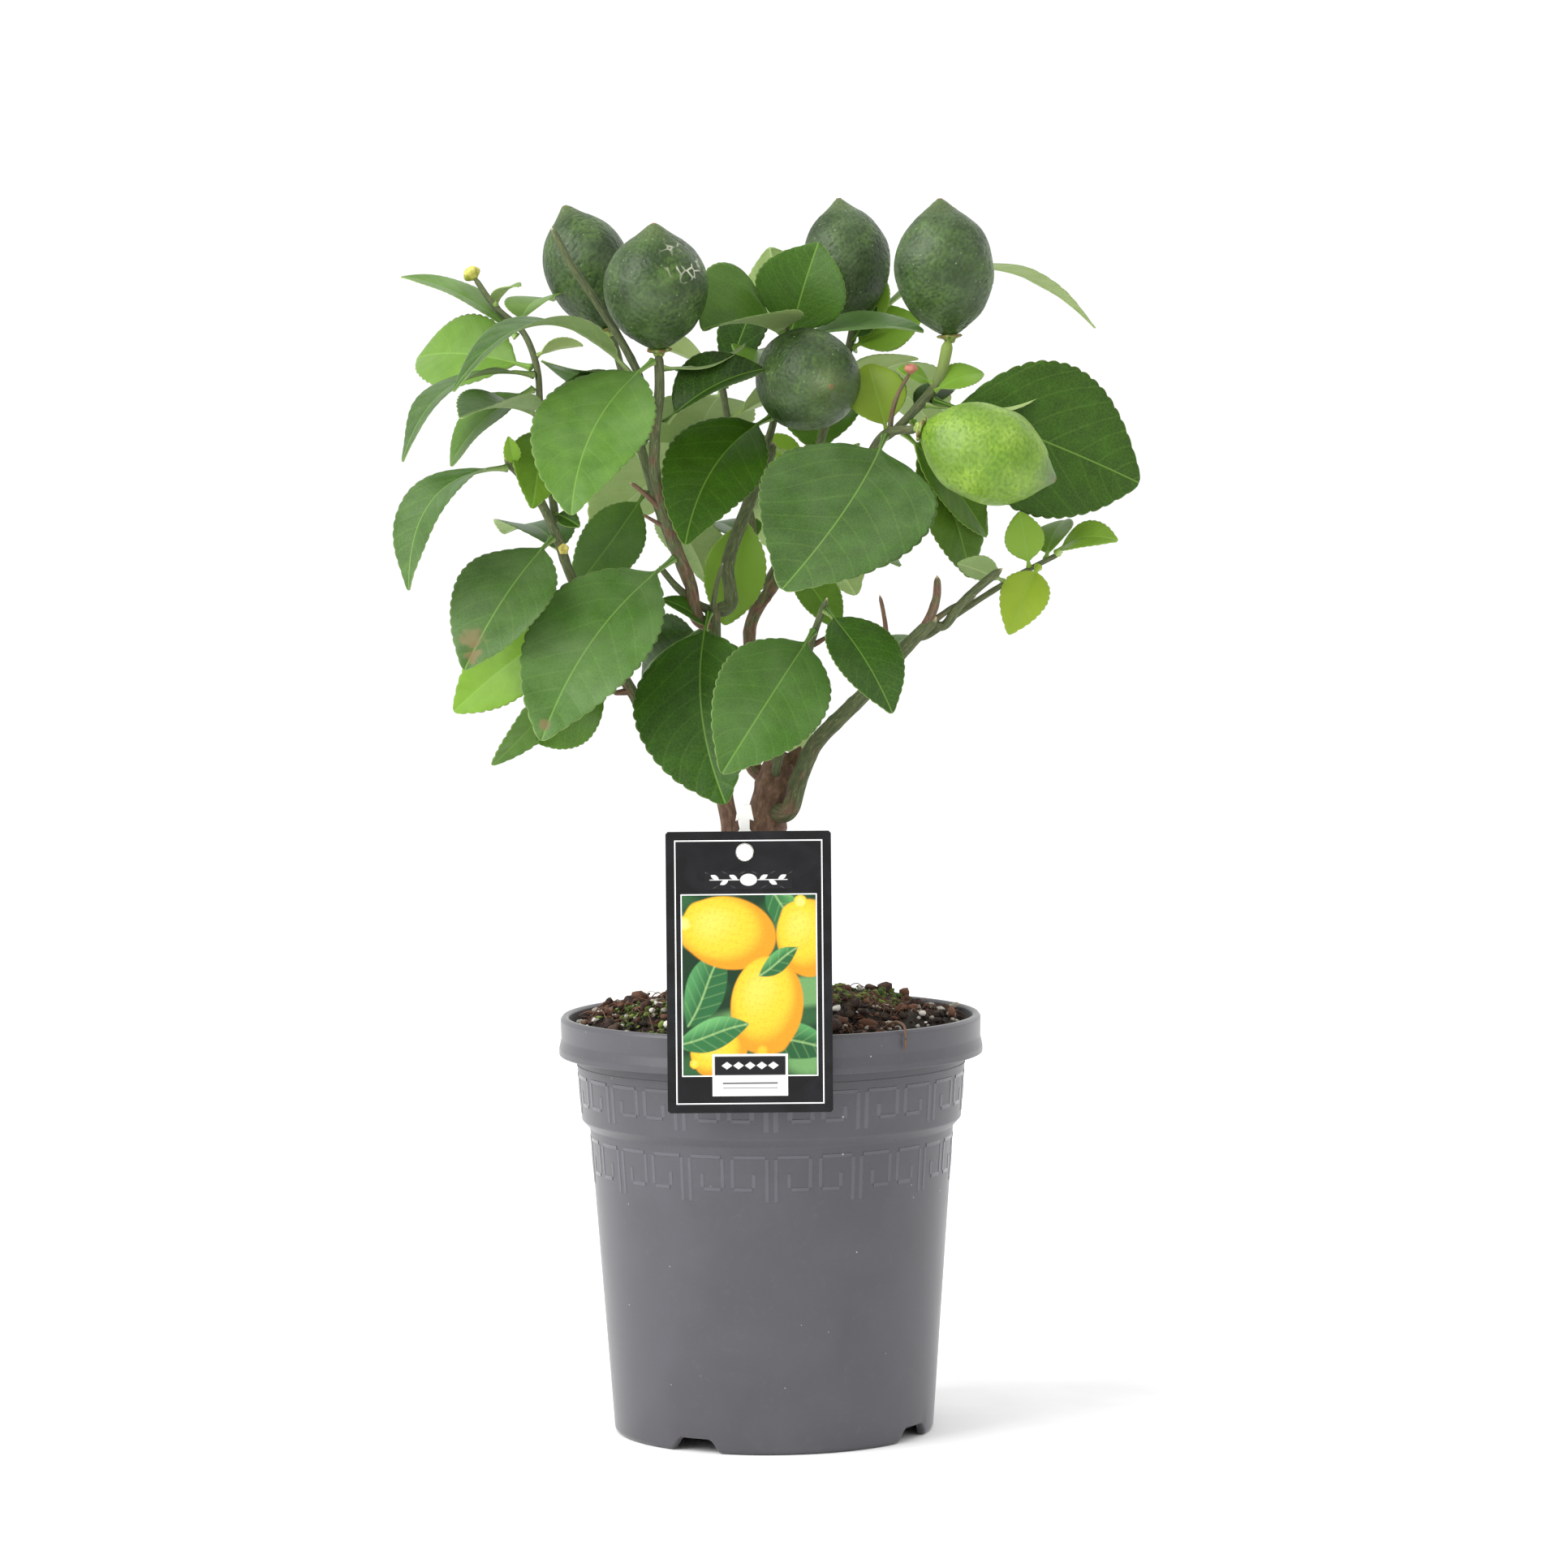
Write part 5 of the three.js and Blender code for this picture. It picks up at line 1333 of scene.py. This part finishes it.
def printed_frame(name, x0, y0, width, height, line):
    """Four white lines round a rectangle, as one thin closed ring with mitred corners."""
    corner = np.array([[0, 0], [1, 0], [1, 1], [0, 1]], float)
    points = []
    for grow, lift in ((0, 0.0), (0, 0.07), (-line, 0.07), (-line, 0.0)):
        flat = np.array([x0, y0]) + corner * [width, height] + (corner * 2 - 1) * grow
        points.append(on_card(flat[:, 0], flat[:, 1], np.full(4, lift)))
    faces = [[r * 4 + c, r * 4 + (c + 1) % 4, (r + 1) % 4 * 4 + (c + 1) % 4, (r + 1) % 4 * 4 + c]
             for r in range(4) for c in range(4)]
    print_piece(name, np.array(points), faces, plain(np.zeros(16), white_ink))


inset, line_width = 3.0, 0.42
picture_width, picture_height, picture_bottom, picture_gap = 46.0, 62.0, 13.0, 0.45
picture_left = -picture_width / 2
printed_frame("print_border", inset - card_half, inset, 2 * (card_half - inset), card_height - 2 * inset,
              line_width)
printed_frame("print_picture_frame", picture_left - picture_gap, picture_bottom - picture_gap,
              picture_width + 2 * picture_gap, picture_height + 2 * picture_gap, 0.4)
printed_panel("print_picture", picture_left, picture_bottom, picture_width, picture_height, 0.3,
              orchard_picture)
printed_panel("print_ornament", -15, 77.3, 30, 6, 0.2, sprig_ornament)
printed_panel("print_badge", -13, 5.8, 26, 14.5, 0.2, badge_ornament, 0.1)
print("label printed")

# %% [markdown]
# ## Small leaves, spurs and buds
#
# A real tree has many more small leaves than the frame holds, and dead spurs, thorns and buds between
# them. They are placed from the frame's stems: a share of the stem's length, then a heading (0 is the
# front, 90 the right) and a rise above level. Every small leaf uses the same surface as the large ones.


# %% A leaf from a place on a stem
def heading(turn, rise):
    """Unit vector for a compass heading and a rise above level, in degrees."""
    h, r = math.radians(turn), math.radians(rise)
    return np.array([math.sin(h) * math.cos(r), -math.cos(h) * math.cos(r), math.sin(r)])


# The outline of the frame's leaves: shares of the length, and the width there as a share of the widest.
outline_at = np.array([0, 0.09, 0.16, 0.3, 0.47, 0.64, 0.8, 0.92, 1.0])
outline_width = np.array([0, 0, 0.34, 0.8, 1, 0.93, 0.66, 0.34, 0])


def grown_leaf(seed, stem, share, toward, length, width, face, arch, fold):
    """A small leaf's surface. The midrib bows by arch mm, as 4t(1 - t), and the edges rise by the half
    width times tan(fold)."""
    centre, direction, girth = on_stem(stem, share)
    along = heading(*toward)
    top = square_to(heading(*face), along)
    leaving = square_to(unit(along * length + top * 4 * arch), direction) * girth
    bow = arch * 4 * outline_at * (1 - outline_at)
    middle = centre + leaving * 0.8 + along * (outline_at * length)[:, None] + top * bow[:, None]
    half = outline_width * width / 2
    return leaf_surface(lengths_along(middle), middle, np.tile(top, (len(half), 1)), half,
                        half * math.tan(math.radians(fold)), max(40, int(length * 1.7)), 16, seed,
                        max(2.6, length / 9), max(1.6, length * 0.055), 0.55 + 0.5 * min(1.0, length / 45),
                        centre + leaving * 0.3)


# Each row: stem, share, toward, length, width, face, arch, fold, (lightness, yellowness, bloom).
# As on the large leaves, the look partly paints light, shade and sheen.
small_leaves = {
    "small_leaves_left": [
        ("stem_left_top", 0.62, (95, 12), 17, 10, (180, 60), 2, 12, (0.9, 0.2, 0.3)),
        ("stem_left_top", 0.02, (60, -25), 11, 7, (0, 30), 1, 15, (0.1, 0, 0.1)),
        ("stem_left_top", 0.86, (30, 20), 20, 10, (0, 60), 2, 12, (0.5, 0.1, 0.2)),
        ("stem_left_top", 0.3, (150, 10), 34, 20, (160, 60), 4, 12, (0.3, 0, 0.2)),
        ("stem_cut_shoot", 0.2, (-100, 8), 34, 17, (-60, -50), 3, 8, (0.3, 0, 0.8)),
        ("stem_cut_shoot", 0.14, (-78, -8), 32, 15, (0, 60), 3, 10, (0.05, 0, 0.2)),
        ("stem_far_left", 0.97, (-20, 62), 12, 6, (0, 20), 1, 14, (0.9, 0.2, 0.1)),
        ("stem_far_left", 0.55, (-98, -36), 58, 28, (-20, 20), 4, 8, (0.7, 0.15, 0.2)),
        ("stem_far_left", 0.5, (-112, -50), 62, 20, (40, -20), 4, 8, (0.5, 0, 0.9)),
        ("stem_far_left", 0.62, (-30, -58), 16, 9, (0, 20), 1, 10, (0.2, 0, 0.2)),
        ("stem_far_left", 0.7, (-150, 10), 46, 27, (-150, 70), 7, 10, (0.3, 0, 0.2)),
        ("stem_far_left", 0.45, (170, -5), 44, 26, (180, 60), 6, 12, (0.35, 0, 0.2)),
    ],
    "small_leaves_middle": [
        ("stem_left_brown", 0.95, (118, 14), 34, 15, (100, -70), 3, 8, (0.3, 0, 0.8)),
        ("stem_back", 0.97, (75, 66), 50, 20, (-30, 10), 3, 10, (0.05, 0, 0.1)),
        ("stem_mid_top", 0.95, (-160, 62), 34, 28, (180, 15), 3, 14, (0.2, 0.05, 0.2)),
        ("stem_mid_top", 0.6, (-165, 20), 40, 26, (-170, 60), 5, 12, (0.45, 0.1, 0.2)),
        ("stem_rear", 0.95, (80, 55), 15, 9, (0, 20), 1, 12, (0.1, 0, 0.1)),
        ("stem_left_green", 0.6, (-150, -66), 46, 22, (0, 10), 3, 8, (0.9, 0.2, 0.3)),
        ("stem_left_green", 0.97, (84, 4), 30, 16, (0, -80), 2, 8, (0.8, 0.1, 0.4)),
        ("stem_rear", 0.45, (-95, 28), 24, 17, (-20, 30), 2, 10, (0.75, 0.25, 0.1)),
        ("stem_rear", 0.25, (100, -20), 40, 24, (60, 50), 4, 10, (0.3, 0.05, 0.2)),
        ("stem_centre", 0.5, (60, -50), 30, 16, (20, 20), 2, 10, (0.4, 0.1, 0.2)),
        ("stem_left_main", 0.9, (-60, 30), 22, 12, (-20, 50), 2, 12, (0.3, 0, 0.2)),
    ],
    "small_leaves_right": [
        ("stem_fruit_right", 0.04, (-150, 62), 27, 21, (0, 15), 2, 10, (0.55, 0.45, 0.1)),
        ("stem_fruit_right", 0.3, (135, 24), 24, 13, (0, 60), 2, 10, (0.0, 0, 0.1)),
        ("stem_fruit_right", 0.55, (112, 18), 20, 13, (0, 50), 2, 10, (0.7, 0.15, 0.2)),
        ("stem_fruit_right", 0.6, (-75, 22), 14, 9, (0, 50), 1, 10, (0.6, 0.15, 0.2)),
        ("stem_fruit_right", 0.42, (112, 15), 54, 30, (110, -75), 7, 8, (0.7, 0.1, 0.5)),
        ("stem_rear", 0.92, (98, 22), 27, 22, (0, 40), 2, 10, (0.85, 0.2, 0.2)),
        ("stem_rear", 0.97, (120, 58), 24, 15, (-10, 20), 2, 10, (0.85, 0.2, 0.2)),
        ("stem_centre", 0.95, (125, -46), 52, 20, (30, 20), 3, 10, (0.35, 0.1, 0.1)),
        ("twig_right_long", 0.78, (-70, 80), 20, 14, (0, 0), 1, 10, (0.9, 0.3, 0.3)),
        ("twig_right_long", 0.6, (-80, 22), 18, 11, (180, 40), 1, 10, (0.3, 0, 0.9)),
        ("twig_right_long", 0.9, (160, 30), 26, 15, (170, 60), 2, 12, (0.5, 0.15, 0.2)),
        ("branch_right", 0.6, (150, 26), 38, 22, (150, 70), 4, 12, (0.35, 0.05, 0.2)),
    ],
    "small_leaves_back": [
        ("stem_rear", 0.5, (170, 22), 48, 28, (170, 70), 7, 12, (0.4, 0.05, 0.3)),
        ("stem_rear", 0.65, (95, 35), 40, 24, (120, 60), 6, 12, (0.45, 0.1, 0.3)),
        ("stem_rear", 0.9, (-165, 40), 34, 22, (180, 40), 4, 14, (0.55, 0.15, 0.3)),
        ("stem_rear_left", 0.55, (-150, 12), 46, 27, (-150, 75), 6, 10, (0.35, 0, 0.3)),
        ("stem_rear_left", 0.75, (-175, -30), 40, 26, (-170, 40), 5, 10, (0.4, 0.05, 0.3)),
        ("stem_rear_left", 0.3, (155, -35), 44, 24, (160, 40), 5, 12, (0.25, 0, 0.3)),
        ("stem_back", 0.35, (-150, 10), 42, 26, (-150, 65), 6, 12, (0.3, 0, 0.2)),
        ("stem_back", 0.85, (100, 12), 44, 26, (150, 60), 6, 12, (0.45, 0.1, 0.3)),
        ("stem_back", 0.98, (-120, 25), 34, 22, (-150, 55), 4, 12, (0.6, 0.2, 0.2)),
        ("stem_left_top", 0.75, (160, 15), 34, 20, (170, 60), 4, 12, (0.45, 0.1, 0.3)),
    ],
}
for index, (name, rows) in enumerate(small_leaves.items()):
    surfaces = [grown_leaf(500 + 20 * index + i, *place) for i, (*place, _) in enumerate(rows)]
    make_leaf(name, surfaces, [look for *_, look in rows])
print({name: len(rows) for name, rows in small_leaves.items()})

# %% Spurs and thorns
# Each row: stem, share, toward, length, radius, age from green to brown, and for a bent one the bend in
# mm and its heading.
spur_rows = [
    ("branch_right", 0.93, (35, 66), 19, 1.5, 0.5, 2, (80, 10)),
    ("branch_right", 0.965, (95, 30), 17, 1.0, 0.4, 1, (0, 60)),
    ("branch_right", 0.70, (-30, 84), 25, 0.85, 0.9, 1.5, (90, 0)),
    ("stem_centre", 0.91, (60, 68), 21, 0.8, 0.5, 2, (-60, 10)),
    ("stem_left_main", 0.93, (20, 62), 21, 0.9, 0.2, 1, (-90, 0)),
    ("stem_left_main", 0.97, (-62, 38), 24, 1.4, 0.2, -3, (0, 60)),
    ("stem_left_brown", 0.42, (-70, 42), 15, 0.9, 1.0, 1, (0, 60)),
    ("stem_left_brown", 0.36, (-95, 30), 9, 0.7, 1.0),
    ("stem_left_brown", 0.3, (80, 36), 8, 0.8, 1.0),
    ("stem_far_left", 0.38, (70, 24), 7, 1.0, 1.0),
    ("stem_far_left", 0.32, (-80, -5), 5, 1.1, 1.0),
    ("stem_far_left", 0.14, (-60, 4), 8, 0.9, 1.0),
    ("twig_low", 0.72, (90, 30), 6, 0.9, 0.6),
    ("stem_centre", 0.36, (60, 40), 7, 0.8, 1.0),
    ("stem_centre", 0.62, (-60, 45), 6, 0.6, 0.8),
    ("stem_rear", 0.3, (150, 40), 8, 0.6, 0.4),
    ("stem_back", 0.25, (160, 30), 9, 0.8, 0.9),
    ("branch_right", 0.45, (140, 35), 7, 0.8, 0.6),
    ("trunk", 0.62, (150, 20), 7, 2.0, 1.0),
    ("trunk", 0.5, (-70, 12), 5, 2.2, 1.0),
]


def woody_piece(name, path, radius, rows, sides, seed, ridge, joint, old, cut_share):
    """A tube of bark of one age, whose end shows cut wood by a share."""
    points, faces, grain, cut = tube_surface(path, radius, rows, sides, seed, ridge, [joint])
    make_piece(name, points, faces, [citrus_bark], "brown_bark" if old > 0.5 else "green_bark",
               attributes={"grain": grain, "age": np.full(len(points), old), "cut": cut * cut_share})


t = np.linspace(0, 1, 6)
spur_ends = []
for index, (stem, share, toward, length, thick, old, *bent) in enumerate(spur_rows):
    bend, side = bent or (0, (0, 0))
    centre, _, girth = on_stem(stem, share)
    bow = bend * np.sin(math.pi * t)
    path = centre + heading(*toward) * (t * (length + girth))[:, None] + heading(*side) * bow[:, None]
    rows = int(length / 0.7) + 12
    woody_piece(f"spur_{index + 1:02d}", path, thick * (1.25 - 0.5 * t), rows, 12, 700 + index, 0.09,
                length * 0.55, old, thick > 0.8)
    spur_ends.append(path[-1])
print(len(spur_rows), "spurs")

# %% A root fibre that hangs over the rim
rim_turn, rim_edge, rim_top = math.radians(38), cad_radius(147.8, np.max), pot_points[:, 2].max()
over_rim = np.array([[-14, -3.0], [-8, 1.5], [-3, 2.8], [0.6, 1.4], [1.2, -2.5], [0.9, -7.0]])
reach = rim_edge + over_rim[:, 0]
path = np.stack([reach * math.sin(rim_turn), -reach * math.cos(rim_turn), rim_top + over_rim[:, 1]], -1)
woody_piece("root_over_rim", path, np.full(6, 0.45), 40, 10, 760, 0.15, 9.0, 1.0, 0)
print("root fibre at", path[-1].round())

# %% Buds: a yellow knob at the end of the left top stem, a withered one, and small pale ones
# Radius and height in mm of the largest knob, from its foot to the dimple in its top.
knob = np.array([(0, -1.2), (0.9, -1.0), (1.5, -0.4), (2.4, 0.2), (3.1, 1.0), (3.2, 1.9), (2.6, 2.9),
                 (1.9, 3.5), (1.7, 3.1), (0.9, 2.8), (0, 2.7)])
top_end, top_way, _ = on_stem("stem_left_top", 1.0)
low_side = on_stem("stem_far_left", 0.72)[0] + heading(10, 20) * 2.0
back_end = on_stem("stem_back", 0.99)[0]
# Each row: name, place, way, size against the knob above, how dry. The withered one is on a spur.
buds = [("bud_left_top", top_end, top_way, 1.0, 0.0), ("bud_withered", spur_ends[3], heading(0, 80), 0.75, 1.0),
        ("bud_left_low", low_side, heading(20, 10), 0.6, 0.2),
        ("bud_back", back_end, heading(180, 60), 0.7, 0.1)]
for name, base, way, size, old in buds:
    points, faces, _ = turned_surface(knob * size, base, way, 30, 5, 0.08)
    make_piece(name, points, faces, [bud_skin], "green_bark", attributes={"dry": np.full(len(points), old)})
print([row[0] for row in buds])

# %% The floor: matt white studio board, with a faint grain
studio_board, tree, place = new_material("studio_board_painted")
grain = add(tree, "TexNoise", {"Vector": place, "Scale": per_mm(30), "Detail": 3})
tint = add(tree, "ValToRGB", {"Fac": grain}, stops=((0.3, "#fafafa"), (0.7, "#ffffff")))
fill(tree.nodes["Principled BSDF"], {"Base Color": tint, "Roughness": 0.95})
floor_radius, floor_gap = 6000, 0.2
board = [(0, -20), (floor_radius, -20), (floor_radius, 0), (0, 0)]
points, faces, _ = turned_surface(board, np.array([0, 0, -floor_gap]), upright, 96)
floor = make_object("floor", points, faces, [studio_board], smooth=False)
print("floor", 2 * floor_radius, "mm across")
